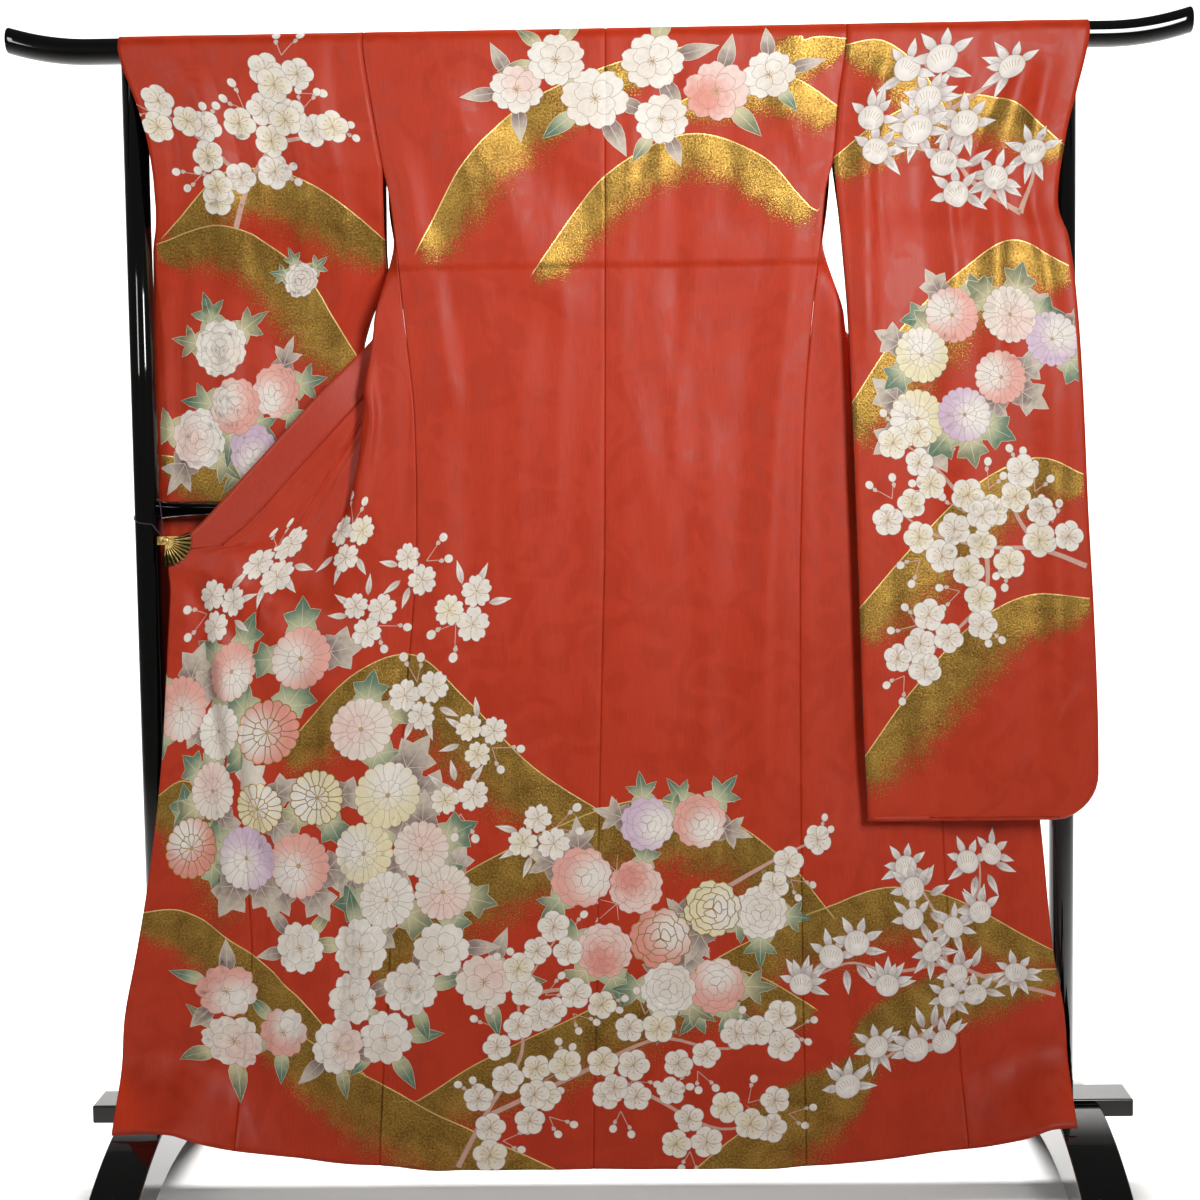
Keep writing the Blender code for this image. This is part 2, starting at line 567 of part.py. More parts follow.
def neck_rows(left, right):
    """Carry the collar across the back of the neck, its seam edge just under the necklines."""
    rows = []
    for share in NECK_SHARES:
        middle = 1.0 - abs(2 * share - 1)
        row = []
        for index, below in enumerate((0.0, COLLAR_WIDTH / 2, COLLAR_WIDTH)):
            x, y, z = (p + (q - p) * share for p, q in zip(left[index], right[index]))
            goal = BAR_HEIGHT - NECK_DROP - below
            row.append((x, y + (NECK_Y - y) * middle, z + (goal - z) * middle))
        rows.append(row)
    return rows


def build_collar(collection, material):
    """Make the folded collar as one long band."""
    return sheet(collar_rows(), COLLAR_THICKNESS, "collar", collection, material)


def tube(name, points, radius, resolution, collection, material):
    """Make a round bar or cord along a line of points."""
    curve = bpy.data.curves.new(name, "CURVE")
    curve.dimensions = "3D"
    curve.bevel_depth = radius
    curve.bevel_resolution = resolution
    curve.use_fill_caps = True
    spline = curve.splines.new("POLY")
    spline.points.add(len(points) - 1)
    for spot, point in zip(spline.points, points):
        spot.co = (*point, 1.0)
    return keep(bpy.data.objects.new(name, curve), name, collection, material)


def build_top_bar(collection, material):
    """Make the top bar, whose two ends sweep gently up."""
    points = []
    steps = 6
    for step in range(-steps, steps + 1):
        share = abs(step) / steps
        x = BAR_STRAIGHT_HALF + (BAR_HALF_LENGTH - BAR_STRAIGHT_HALF) * share
        if step:
            points.append(((x if step > 0 else -x), 0.0, BAR_HEIGHT + BAR_END_RISE * share**2))
        else:
            points += [(-BAR_STRAIGHT_HALF, 0.0, BAR_HEIGHT), (0.0, 0.0, BAR_HEIGHT),
                       (BAR_STRAIGHT_HALF, 0.0, BAR_HEIGHT)]
    return tube("top_bar", points, BAR_RADIUS, 6, collection, material)


def cylinder(name, radius, length, centre, along_x, sides, collection, material):
    """Make a plain round bar."""
    turn = (0.0, pi / 2, 0.0) if along_x else (0.0, 0.0, 0.0)
    bpy.ops.mesh.primitive_cylinder_add(vertices=sides, radius=radius, depth=length, location=centre,
                                        rotation=turn)
    return keep(bpy.context.object, name, collection, material)


def cut(thing, cutter):
    """Cut one object out of another."""
    made = thing.modifiers.new("Cut", "BOOLEAN")
    made.operation = "DIFFERENCE"
    made.object = cutter
    made.solver = "EXACT"


def hide_cutter(thing):
    """Keep a cutter out of the finished part."""
    thing.hide_render = True
    thing.display_type = "WIRE"


def build_posts(collection, cutters, material):
    """Make the two posts, saddled under the top bar."""
    saddle = cylinder("cutter_saddle", BAR_RADIUS + CONTACT, 2 * BAR_STRAIGHT_HALF, (0, 0, BAR_HEIGHT), True,
                      48, cutters, material)
    hide_cutter(saddle)
    bottom = PLANK_TOP + CONTACT
    top = BAR_HEIGHT - BAR_RADIUS * SADDLE_DEPTH
    for name, side in (("left_post", -1), ("right_post", 1)):
        centre = (side * POST_REACH, 0.0, (bottom + top) / 2)
        post = cylinder(name, POST_RADIUS, top - bottom, centre, False, 20, collection, material)
        post.data.shade_smooth()
        cut(post, saddle)


def build_mid_bar(collection, cutters, material):
    """Make the rail between the posts, hollowed at its ends to fit them."""
    length = 2 * (POST_REACH - POST_RADIUS * TENON_DEPTH)
    bar = cylinder("mid_bar", MID_BAR_RADIUS, length, (0, 0, MID_BAR_HEIGHT), True, 16, collection, material)
    for name, side in (("cutter_left_post", -1), ("cutter_right_post", 1)):
        spot = (side * POST_REACH, 0, MID_BAR_HEIGHT)
        around = cylinder(name, POST_RADIUS + CONTACT, 4 * POST_RADIUS, spot, False, 40, cutters, material)
        hide_cutter(around)
        cut(bar, around)


def build_plank(collection, material):
    """Make the long plank that ties the feet together."""
    bpy.ops.mesh.primitive_cube_add(size=1.0, location=(0.0, 0.0, PLANK_TOP - PLANK_HEIGHT / 2))
    plank = keep(bpy.context.object, "base_plank", collection, material)
    for corner in plank.data.vertices:
        corner.co.x *= 2 * PLANK_HALF_LENGTH
        corner.co.y *= PLANK_DEPTH
        corner.co.z *= PLANK_HEIGHT
    bevel = plank.modifiers.new("Edges", "BEVEL")
    bevel.width = PLANK_BEVEL
    bevel.segments = 2


def foot_outline():
    """Draw an arched foot from the side, with the notch that takes the plank."""
    notch = PLANK_DEPTH / 2 + CONTACT
    floor = PLANK_TOP - PLANK_HEIGHT - CONTACT

    def top_at(y):
        return FOOT_TOP - FOOT_TOP_RADIUS + sqrt(FOOT_TOP_RADIUS**2 - y * y)

    half = [(notch, floor), (notch, top_at(notch))]
    for step in range(1, FOOT_STEPS + 1):
        y = notch + (FOOT_HALF_LENGTH - notch) * step / FOOT_STEPS
        half.append((y, top_at(y)))
    half.append((FOOT_HALF_LENGTH, 0.0))
    half.append((FOOT_ARCH_HALF, 0.0))
    arch = (FOOT_ARCH_HALF**2 + FOOT_ARCH_RISE**2) / (2 * FOOT_ARCH_RISE)
    for step in range(1, FOOT_STEPS):
        y = FOOT_ARCH_HALF * (1 - step / FOOT_STEPS)
        half.append((y, FOOT_ARCH_RISE - arch + sqrt(arch * arch - y * y)))
    other = [(-y, z) for y, z in reversed(half)]
    return half + [(0.0, FOOT_ARCH_RISE)] + other


def build_feet(collection, material):
    """Make the two arched feet."""
    for name, low in (("left_foot", -FOOT_OUTER), ("right_foot", FOOT_INNER)):
        bm = bmesh.new()
        corners = [bm.verts.new((low, y, z)) for y, z in foot_outline()]
        face = bm.faces.new(corners)
        grown = bmesh.ops.extrude_face_region(bm, geom=[face])
        moved = [item for item in grown["geom"] if isinstance(item, bmesh.types.BMVert)]
        bmesh.ops.translate(bm, verts=moved, vec=(FOOT_OUTER - FOOT_INNER, 0.0, 0.0))
        mesh_object(name, bm, collection, material, smooth=False)


def join(target, other):
    """Fuse one object into another."""
    made = target.modifiers.new("Join", "BOOLEAN")
    made.operation = "UNION"
    made.object = other
    made.solver = "EXACT"


def prism(name, outline, low, depth, axis, collection, material):
    """Make a flat outline solid: outlines lie in the XZ plane for axis Y and in the XY plane for axis Z."""
    bm = bmesh.new()
    if axis == "Y":
        corners = [bm.verts.new((a, low, b)) for a, b in outline]
        move = (0.0, depth, 0.0)
    else:
        corners = [bm.verts.new((a, b, low)) for a, b in outline]
        move = (0.0, 0.0, depth)
    face = bm.faces.new(corners)
    grown = bmesh.ops.extrude_face_region(bm, geom=[face])
    moved = [item for item in grown["geom"] if isinstance(item, bmesh.types.BMVert)]
    bmesh.ops.translate(bm, verts=moved, vec=move)
    return mesh_object(name, bm, collection, material, smooth=False)


def build_clip(collection, cutters, material):
    """Make the fan clip: a ribbed leaf and hub before the cloth, and a jaw that wraps its edge."""
    leaf_outline = [(CLIP_X, CLIP_Z)]
    steps = 2 * CLIP_RIBS
    for step in range(steps + 1):
        angle = (CLIP_FIRST_RIB + (CLIP_LAST_RIB - CLIP_FIRST_RIB) * step / steps) * pi / 180
        radius = CLIP_RADIUS - (CLIP_NOTCH if step % 2 else 0.0)
        leaf_outline.append((CLIP_X + radius * cos(angle), CLIP_Z + radius * sin(angle)))
    leaf = prism("fan_clip", leaf_outline, CLIP_Y, -CLIP_PLATE, "Y", collection, material)
    outer = CLIP_X - JAW_REACH
    inner = outer + JAW_WALL
    front = CLIP_Y - CLIP_PLATE
    back = JAW_Y + JAW_WALL
    jaw_outline = [(outer, front), (CLIP_X, front), (CLIP_X, CLIP_Y), (inner, CLIP_Y), (inner, JAW_Y),
                   (CLIP_X + JAW_HOLD, JAW_Y), (CLIP_X + JAW_HOLD, back), (outer, back)]
    jaw = prism("cutter_jaw", jaw_outline, CLIP_Z - JAW_HEIGHT / 2, JAW_HEIGHT, "Z", cutters, material)
    bpy.ops.mesh.primitive_cylinder_add(vertices=16, radius=CLIP_HUB_RADIUS, depth=CLIP_HUB_DEPTH,
                                        location=(CLIP_X, CLIP_Y - CLIP_HUB_DEPTH / 2, CLIP_Z),
                                        rotation=(pi / 2, 0, 0))
    hub = keep(bpy.context.object, "cutter_hub", cutters, material)
    for piece in (jaw, hub):
        hide_cutter(piece)
        join(leaf, piece)


def build_cord(collection, material):
    """Tie the clip's cord round the post, over the rail and back down to the clip."""
    ring = POST_RADIUS + CORD_RADIUS + CONTACT
    points = [CORD_START]
    for step in range(CORD_STEPS + 1):
        share = step / CORD_STEPS
        angle = CORD_ANGLE - 2 * pi * CORD_TURN * share
        height = CORD_LOW + (CORD_HIGH - CORD_LOW) * ease(share)
        points.append((-POST_REACH + ring * cos(angle), ring * sin(angle), height))
    return tube("clip_cord", points + list(CORD_RETURN), CORD_RADIUS, 2, collection, material)


def build_part():
    """Build the garment and its rack."""
    clear_scene()
    parts = new_collection("furisode_on_rack")
    cutters = new_collection("cutters")
    lacquer = new_material("black lacquer", (0.006, 0.006, 0.007), 0.12)
    silk = new_material("vermilion silk", (0.50, 0.045, 0.025), 0.5)
    dark_cord = new_material("dark cord", (0.03, 0.012, 0.03), 0.7)
    brass = new_material("brass", (0.55, 0.38, 0.13), 0.3, 1.0)
    build_top_bar(parts, lacquer)
    build_posts(parts, cutters, lacquer)
    build_mid_bar(parts, cutters, lacquer)
    build_plank(parts, lacquer)
    build_feet(parts, lacquer)
    for side in (-1, 1):
        build_body(side, parts, silk)
        build_okumi(side, parts, silk)
    build_sleeve(LEFT_SLEEVE, "left_sleeve", parts, silk)
    build_sleeve(RIGHT_SLEEVE, "right_sleeve", parts, silk)
    build_collar(parts, silk)
    build_clip(parts, cutters, brass)
    build_cord(parts, dark_cord)


build_part()
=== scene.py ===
"""Looks of a long-sleeved formal kimono that hangs over the top bar of a black lacquered rack.

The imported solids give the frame. Here the cloth is drawn again as fine shells on the same surfaces, with soft
creases, painted flowers, gold hills and a woven ground, and the rack gets its rounded, polished form. Lengths
are in metres, +Z is up, and the garment's back faces -Y.
"""
import logging
from dataclasses import dataclass, field
from enum import Enum
from math import ceil, cos, hypot, pi, radians, sin, sqrt
from random import Random
from typing import Any, Callable, Iterable, NamedTuple, Sequence, TypeVar

import bmesh
import bpy
import numpy as np
from mathutils import Matrix, Vector

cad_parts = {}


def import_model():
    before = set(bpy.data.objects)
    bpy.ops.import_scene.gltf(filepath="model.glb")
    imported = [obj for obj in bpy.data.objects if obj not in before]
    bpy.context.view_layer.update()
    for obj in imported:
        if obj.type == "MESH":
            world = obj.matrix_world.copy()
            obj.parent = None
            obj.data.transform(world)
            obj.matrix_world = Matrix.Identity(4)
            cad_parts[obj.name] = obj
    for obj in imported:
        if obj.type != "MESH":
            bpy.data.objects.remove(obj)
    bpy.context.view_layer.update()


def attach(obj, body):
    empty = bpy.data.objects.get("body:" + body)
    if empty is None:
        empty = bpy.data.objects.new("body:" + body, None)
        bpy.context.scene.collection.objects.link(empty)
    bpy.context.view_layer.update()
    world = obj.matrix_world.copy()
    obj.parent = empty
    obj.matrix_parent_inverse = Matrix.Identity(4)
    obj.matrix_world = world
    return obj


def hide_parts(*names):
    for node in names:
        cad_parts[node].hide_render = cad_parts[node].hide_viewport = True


LOG = logging.getLogger("furisode")
Point = tuple[float, float, float]
Flat = tuple[float, float]
Socket = bpy.types.NodeSocket
Row = TypeVar("Row")

# Rack sizes
BAR_RADIUS = 0.019
BAR_HEIGHT = 1.686
BAR_HALF_LENGTH = 0.855
BAR_STRAIGHT_HALF = 0.735
BAR_END_RISE = 0.018
POST_RADIUS = 0.0185
POST_REACH = 0.6715
CONTACT = 0.0003

# Cloth sizes
WALL = 0.0012
SEAM = 0.0001
SEAM_LIP = 0.0022
SEAM_SINK = 0.0008
ARMHOLE_GAP = 0.0010
OVER_BAR = BAR_RADIUS + 0.0007 + 0.00075
ARC_STEPS = 16
HALF_ARC = range(ARC_STEPS // 2 + 1)
ROW_STEP = 0.008
PANEL_COLUMNS = 36
OKUMI_COLUMNS = 18
LINE_STEPS = 10
HEM_LEVEL = 0.040
ARMHOLE_END = 1.512
SIDE_SEAM_TOP = 1.388
OKUMI_TOP = 1.200
COLLAR_WIDTH = 0.055
COLLAR_SLANT = 0.0717
COLLAR_END = 0.960
COLLAR_TOP = 1.655
COLLAR_COLUMNS = 9
COLLAR_WALL = 0.0018
COLLAR_TIP = 0.004
NECK_Y = 0.0212
NECK_DROP = 0.0020
NECK_STEPS = 12
TWIST_GAP = 0.0012
TURN_TOP = 1.300
TURN_END = 1.200
TURN_ROOM = 0.00075
TUCK_LEVEL = 1.366
TUCK_STEP = 0.0006
TUCK_FADE = 0.045
CREASE_CLEAR = 0.006
CREASE_FADE = 0.045
CREASE_KEPT = 0.25
CORNER_LIFT = 0.0008
CORNER_CLEAR = 0.004
CUFF_CLEAR = 0.004
CUFF_FADE = 0.05

# The widths that the cloth was cut to, across which the pattern was drawn
BACK_CUT = 0.30
FRONT_CUT = 0.24
OKUMI_CUT = 0.17
SLEEVE_CUT = 0.34


class Side(Enum):
    """Which half of the garment, as the viewer sees it."""

    LEFT = -1
    RIGHT = 1


class Sheet(Enum):
    """The areas that carry one unbroken painting each."""

    BODY = "body"
    LEFT_NEAR = "left_near"
    LEFT_FAR = "left_far"
    RIGHT_NEAR = "right_near"
    RIGHT_FAR = "right_far"


class Kind(Enum):
    """The painted flowers."""

    PLUM = "plum"
    CHERRY = "cherry"
    CAMELLIA = "camellia"
    CHRYSANTHEMUM = "chrysanthemum"
    PEONY = "peony"
    CITRUS = "citrus"
    BUD = "bud"


class BackRow(NamedTuple):
    """Where the hanging back lies at one level."""

    z: float
    centre: float
    left: float
    right: float
    depth: float

    def edge(self, side: Side) -> float:
        """Give the side edge of one half."""
        return self.left if side is Side.LEFT else self.right


class FrontRow(NamedTuple):
    """Where one front lies at one level, from its side edge to its free edge."""

    z: float
    side: float
    side_y: float
    fold: float
    fold_y: float
    loop: float
    loop_y: float
    seam: float
    seam_y: float
    edge: float
    edge_y: float

    def marks(self) -> Iterable[Flat]:
        """Give the places that its line passes through after the side edge."""
        return zip(self[3::2], self[4::2])


class HemRow(NamedTuple):
    """How far the hem is lifted at a distance from the middle."""

    reach: float
    rise: float


class SleeveRow(NamedTuple):
    """Where a sleeve's two layers lie at one level."""

    z: float
    inner: float
    outer: float
    near_y: float
    outer_far: float
    far_y: float


class Fold(NamedTuple):
    """A soft vertical fold of the hanging back."""

    x_top: float
    x_foot: float
    z_top: float
    z_foot: float
    half_width: float
    height: float


class Crease(NamedTuple):
    """A soft ridge, or a trough where the height is negative, between two places of a sheet."""

    a_start: float
    b_start: float
    a_end: float
    b_end: float
    half_width: float
    height: float


def measured(row: Callable[..., Row], table: Iterable[Sequence[int]]) -> tuple[Row, ...]:
    """Read a table of rows whose lengths are in tenths of a millimetre."""
    return tuple(row(*(length / 10_000 for length in line)) for line in table)


BACK_ROWS = measured(BackRow, (
    (16860, 140, -3360, 3600, -205), (16000, 130, -3245, 3480, -240), (15120, 115, -3100, 3390, -270),
    (14700, 110, -3010, 3280, -285), (13880, 100, -2915, 3195, -310), (13000, 85, -2830, 3080, -330),
    (11500, 65, -2700, 2950, -365), (9400, 30, -2710, 2870, -410), (8600, 0, -2780, 2860, -430),
    (5900, -90, -3050, 2850, -470), (3000, -170, -3250, 2860, -510), (400, -250, -3420, 2890, -550),
))

FRONTS = {
    Side.LEFT: measured(FrontRow, (
        (16860, -3360, 205, -2450, 205, -1600, 205, -760, 205, -200, 205),
        (16550, -3320, 215, -2500, 260, -1650, 270, -900, 250, -240, 230),
        (16000, -3245, 220, -2650, 380, -1700, 450, -1040, 360, -360, 230),
        (15120, -3100, 200, -2750, 500, -1850, 680, -1470, 500, -1010, 130),
        (14500, -3060, 60, -2900, 400, -2400, 580, -2000, 450, -1600, 100),
        (14000, -2960, -200, -2980, 120, -2770, 400, -2500, 390, -2080, 160),
        (13500, -2880, -318, -3090, -220, -3030, 20, -2900, 150, -2525, 220),
        (13000, -2830, -330, -3230, -330, -3160, -110, -3110, 20, -3010, 300),
        (12750, -2810, -336, -3265, -340, -3130, -100, -3140, 10, -3250, 180),
        (12500, -2790, -342, -3300, -350, -3100, -100, -3155, 0, -3480, 40),
        (12000, -2740, -352, -3360, -365, -3140, -120, -3280, -20, -3980, -140),
        (11500, -2700, -365, -3420, -380, -3340, -180, -3530, -110, -4460, -195),
        (10800, -2690, -380, -3480, -400, -3520, -180, -3940, -150, -5130, -205),
        (10000, -2700, -400, -3620, -420, -3850, -250, -4430, -225, -5890, -215),
        (9600, -2705, -406, -3740, -420, -4080, -280, -4680, -240, -6340, -215),
        (9000, -2740, -418, -3720, -440, -4300, -320, -4990, -270, -6360, -230),
        (8300, -2800, -436, -3680, -480, -4360, -380, -5120, -300, -6410, -250),
        (6700, -2960, -460, -3780, -520, -4500, -440, -5360, -330, -6530, -270),
        (5100, -3100, -482, -3850, -540, -4550, -480, -5330, -360, -6740, -290),
        (3500, -3215, -503, -3920, -560, -4600, -500, -5270, -390, -7010, -330),
        (2150, -3305, -523, -3980, -580, -4650, -540, -5410, -450, -7200, -420),
        (400, -3420, -550, -4050, -610, -4750, -580, -5490, -520, -7210, -540),
    )),
    Side.RIGHT: measured(FrontRow, (
        (16860, 3600, 205, 2700, 205, 1900, 205, 1040, 205, 480, 205),
        (16550, 3555, 205, 2750, 260, 1950, 270, 1160, 250, 500, 230),
        (16000, 3480, 180, 2900, 360, 2000, 440, 1300, 360, 620, 230),
        (15120, 3390, 100, 3000, 460, 2110, 680, 1730, 500, 1270, 130),
        (14500, 3330, -20, 3140, 360, 2640, 560, 2260, 450, 1850, 100),
        (14000, 3240, -220, 3220, 100, 3020, 390, 2760, 390, 2330, 160),
        (13500, 3140, -318, 3340, -210, 3290, 30, 3160, 150, 2785, 220),
        (13000, 3080, -330, 3490, -310, 3420, -100, 3370, 30, 3270, 300),
        (12750, 3055, -336, 3525, -320, 3390, -90, 3400, 10, 3510, 180),
        (12500, 3030, -342, 3560, -330, 3360, -100, 3415, 0, 3740, 40),
        (12000, 2985, -352, 3580, -345, 3390, -120, 3530, -20, 4210, -140),
        (11500, 2950, -365, 3600, -360, 3540, -180, 3730, -115, 4630, -185),
        (10800, 2925, -380, 3620, -375, 3680, -220, 4040, -190, 5150, -210),
        (10000, 2895, -400, 3660, -390, 3920, -250, 4360, -225, 5750, -215),
        (9600, 2880, -406, 3680, -400, 4050, -270, 4460, -240, 5900, -220),
        (9000, 2865, -418, 3660, -410, 4150, -300, 4560, -270, 5950, -230),
        (8300, 2860, -436, 3620, -420, 4180, -330, 4680, -290, 6020, -250),
        (6700, 2850, -460, 3600, -440, 4220, -380, 4860, -330, 6220, -270),
        (5100, 2852, -482, 3620, -500, 4280, -460, 4940, -360, 6400, -290),
        (3500, 2858, -503, 3640, -540, 4340, -500, 5040, -400, 6540, -330),
        (2150, 2867, -523, 3660, -570, 4400, -540, 5140, -460, 6700, -420),
        (400, 2890, -550, 3700, -600, 4480, -580, 5230, -520, 6720, -540),
    )),
}

# Soft folds of the hanging back
BACK_FOLDS = measured(Fold, (
    (-2150, -2620, 12000, 400, 300, 70), (-1400, -1750, 9000, 400, 320, 50),
    (-600, -850, 7000, 400, 400, 40), (600, 500, 6200, 400, 400, 40), (1500, 1400, 8500, 400, 340, 50),
    (2350, 2220, 12500, 400, 300, 70),
))

# How far the hem rises and swings out toward the ends, where the fronts rest over the arched feet
HEM_ROWS = measured(HemRow, (
    (2500, 0), (3200, 50), (4400, 180), (5200, 360), (6000, 660), (6400, 820), (7300, 820),
))
HEM_REACH_TOP = 0.45
HEM_SWING = 0.096
HEM_SWING_START = 0.44
HEM_SWING_END = 0.63
HEM_SWING_TOP = 0.170

SLEEVE_BOTTOM = 0.562
SLEEVE_CORNER = 0.062
CUFF_END = 1.440
SLEEVE_COLUMNS = 44
SLEEVE_CLOSURE = 7
CLOSURE_BULGE = 0.007
SLEEVES = {
    Side.LEFT: measured(SleeveRow, (
        (16860, -3363, -6900, -205, -6900, 205), (16000, -3248, -6620, -240, -6680, 240),
        (15550, -3178, -6500, -250, -6600, 245), (15120, -3103, -6440, -250, -6540, 240),
        (14750, -3105, -6420, -200, -6520, 250), (14400, -3110, -6430, -140, -6500, 260),
        (14000, -3115, -6450, -30, -6480, 270), (13500, -3125, -6480, 80, -6500, 300),
        (13000, -3350, -6510, 150, -6520, 330), (12500, -3500, -6520, 190, -6525, 350),
        (11800, -3580, -6525, 195, -6525, 355), (10000, -3620, -6530, 200, -6530, 370),
        (8600, -3600, -6600, 245, -6600, 385), (7000, -3640, -6720, 250, -6720, 390),
        (5620, -3680, -6760, 260, -6760, 380),
    )),
    Side.RIGHT: measured(SleeveRow, (
        (16860, 3603, 7060, -205, 7060, 205), (16000, 3483, 6860, -245, 6860, 220),
        (15550, 3433, 6740, -265, 6680, 220), (15120, 3393, 6660, -290, 6480, 100),
        (14750, 3420, 6600, -330, 6400, -40), (14400, 3450, 6580, -390, 6460, -220),
        (14000, 3480, 6640, -500, 6640, -340), (13000, 3550, 6760, -610, 6760, -480),
        (11800, 3600, 6840, -660, 6840, -540), (10000, 3660, 6920, -680, 6920, -560),
        (8600, 3700, 7000, -690, 7000, -570), (7000, 3745, 7060, -700, 7060, -570),
        (5620, 3800, 7080, -700, 7080, -590),
    )),
}

# Soft creases of the shown and hidden faces, uneven as they fall
CREASES = {
    Sheet.BODY: measured(Crease, (
        (-2500, 16400, -600, 13000, 450, 68), (-1600, 16000, -100, 14200, 350, -51),
        (-2850, 15600, -2300, 11500, 220, 59), (2700, 16400, 1900, 14400, 400, 51),
        (1000, 13800, 1600, 11000, 450, -43), (2620, 13800, 2450, 6000, 200, 59),
        (2150, 13000, 2050, 9000, 260, -43), (-2250, 13500, -2150, 8200, 260, -51),
        (-1100, 12500, -1500, 7600, 500, 51), (400, 11500, 600, 6400, 550, 43),
        (-6400, 9600, -4200, 7600, 200, 76), (-6500, 9300, -5000, 5600, 240, 85),
        (-6600, 9000, -6000, 4200, 260, -68), (-5600, 9000, -3500, 8500, 180, -51),
        (-4600, 8000, -3700, 3000, 300, -59), (-5600, 5200, -5900, 600, 320, 76),
        (-3300, 7200, -3400, 800, 280, 59), (4400, 10800, 4000, 5600, 240, -51),
        (5000, 8000, 4700, 800, 300, 59), (6200, 7000, 6300, 800, 240, -51),
        (3500, 5600, 3400, 700, 260, 51), (3300, 16400, 4300, 14500, 300, 51),
        (-3300, 16400, -4300, 14400, 300, 51), (-5300, 11400, -5350, 8800, 140, -70),
        (-4250, 12200, -4150, 9000, 150, 65), (-6900, 9400, -5400, 8950, 140, 45),
        (-6900, 9150, -5600, 8200, 150, -50), (-6900, 9300, -6400, 7000, 160, 50),
        (-6550, 9000, -5900, 6400, 160, -55), (-6450, 8000, -4850, 4400, 130, -45),
        (-6050, 8000, -4450, 4400, 140, 45), (-6100, 4400, -6400, 600, 160, -50),
        (-4700, 3800, -5000, 600, 150, 50), (-3950, 7000, -3800, 2500, 100, -40),
        (1500, 3300, 1300, 600, 180, 45), (5600, 5600, 5600, 700, 140, -50),
        (-600, 13500, -800, 10000, 120, 22), (1200, 13400, 1000, 9500, 120, 22),
        (-2200, 16600, -1400, 14800, 100, 30), (900, 16500, 400, 14800, 100, -28),
        (2000, 16550, 2700, 15000, 100, 32),
    )),
    Sheet.RIGHT_NEAR: measured(Crease, (
        (2400, 16500, 1800, 14000, 90, -42), (1850, 16400, 1650, 13000, 90, 40),
        (750, 16400, 600, 13800, 80, -38), (3300, 7600, 1800, 5600, 60, 22),
        (2600, 16750, 2150, 11800, 200, 85), (2900, 16400, 3150, 12500, 120, -59),
        (600, 16800, 250, 12500, 180, 76), (1300, 16000, 1100, 9000, 260, -59),
        (3000, 12000, 2850, 6400, 200, 76), (1800, 11000, 1900, 6200, 280, 51),
        (500, 10000, 600, 6000, 220, -43),
    )),
    Sheet.LEFT_NEAR: measured(Crease, (
        (2150, 16400, 1900, 13500, 90, -40), (1150, 16400, 1200, 13800, 90, 36),
        (2500, 16750, 2150, 11500, 200, 85), (1700, 16700, 1400, 12000, 240, -68),
        (800, 16750, 600, 13000, 200, 68), (3000, 16400, 3100, 11000, 140, -51),
    )),
    Sheet.RIGHT_FAR: measured(Crease, (
        (1000, 16600, 1200, 8000, 260, 59), (2300, 16000, 2100, 7000, 240, -51),
    )),
    Sheet.LEFT_FAR: measured(Crease, (
        (1100, 16600, 900, 8000, 260, 59), (2400, 16400, 2300, 7000, 220, -51),
    )),
}


def ease(value: float) -> float:
    """Rise smoothly from 0 to 1 while the value does."""
    held = min(1.0, max(0.0, value))
    return held * held * (3.0 - 2.0 * held)


def smooth_table(rows: Sequence[NamedTuple], place: float) -> list[float]:
    """Blend a table's rows smoothly at a place in its first column.

    Args:
        rows: The table, in any order of its first column.
        place: Where to read it.

    Returns:
        One value for each column, the first of them the place itself.
    """
    ordered = sorted(rows)
    place = min(max(place, ordered[0][0]), ordered[-1][0])
    index = 0
    while index < len(ordered) - 2 and place > ordered[index + 1][0]:
        index += 1
    first, second = ordered[index], ordered[index + 1]
    span = second[0] - first[0]
    before = ordered[index - 1] if index else first
    after = ordered[index + 2] if index + 2 < len(ordered) else second
    run_in = second[0] - (before[0] if index else first[0] - span)
    run_out = (after[0] if index + 2 < len(ordered) else second[0] + span) - first[0]
    t = (place - first[0]) / span
    values = [place]
    for column in range(1, len(first)):
        start, end = first[column], second[column]
        slope_in = (end - before[column]) / run_in * span
        slope_out = (after[column] - start) / run_out * span
        values.append((2 * t**3 - 3 * t**2 + 1) * start + (t**3 - 2 * t**2 + t) * slope_in
                      + (3 * t**2 - 2 * t**3) * end + (t**3 - t**2) * slope_out)
    return values


def smooth_line(marks: Sequence[Sequence[float]], steps: int = LINE_STEPS) -> list[tuple[float, ...]]:
    """Draw a smooth line through a few points, with equal steps between each two.

    Args:
        marks: The points that the line passes through.
        steps: How many steps to take between two of them.

    Returns:
        The line's points.
    """
    ends = [marks[0], *marks, marks[-1]]
    line = []
    for a, b, c, d in zip(ends, ends[1:], ends[2:], ends[3:]):
        for step in range(steps):
            t = step / steps
            line.append(tuple(0.5 * (2 * q + (r - p) * t + (2 * p - 5 * q + 4 * r - s) * t * t
                                     + (3 * q - p - 3 * r + s) * t**3) for p, q, r, s in zip(a, b, c, d)))
    line.append(tuple(marks[-1]))
    return line


def run_lengths(line: Sequence[Sequence[float]]) -> list[float]:
    """Measure how far along a line each of its points lies."""
    lengths = [0.0]
    for start, end in zip(line, line[1:]):
        lengths.append(lengths[-1] + sqrt(sum((p - q) ** 2 for p, q in zip(start, end))))
    return lengths


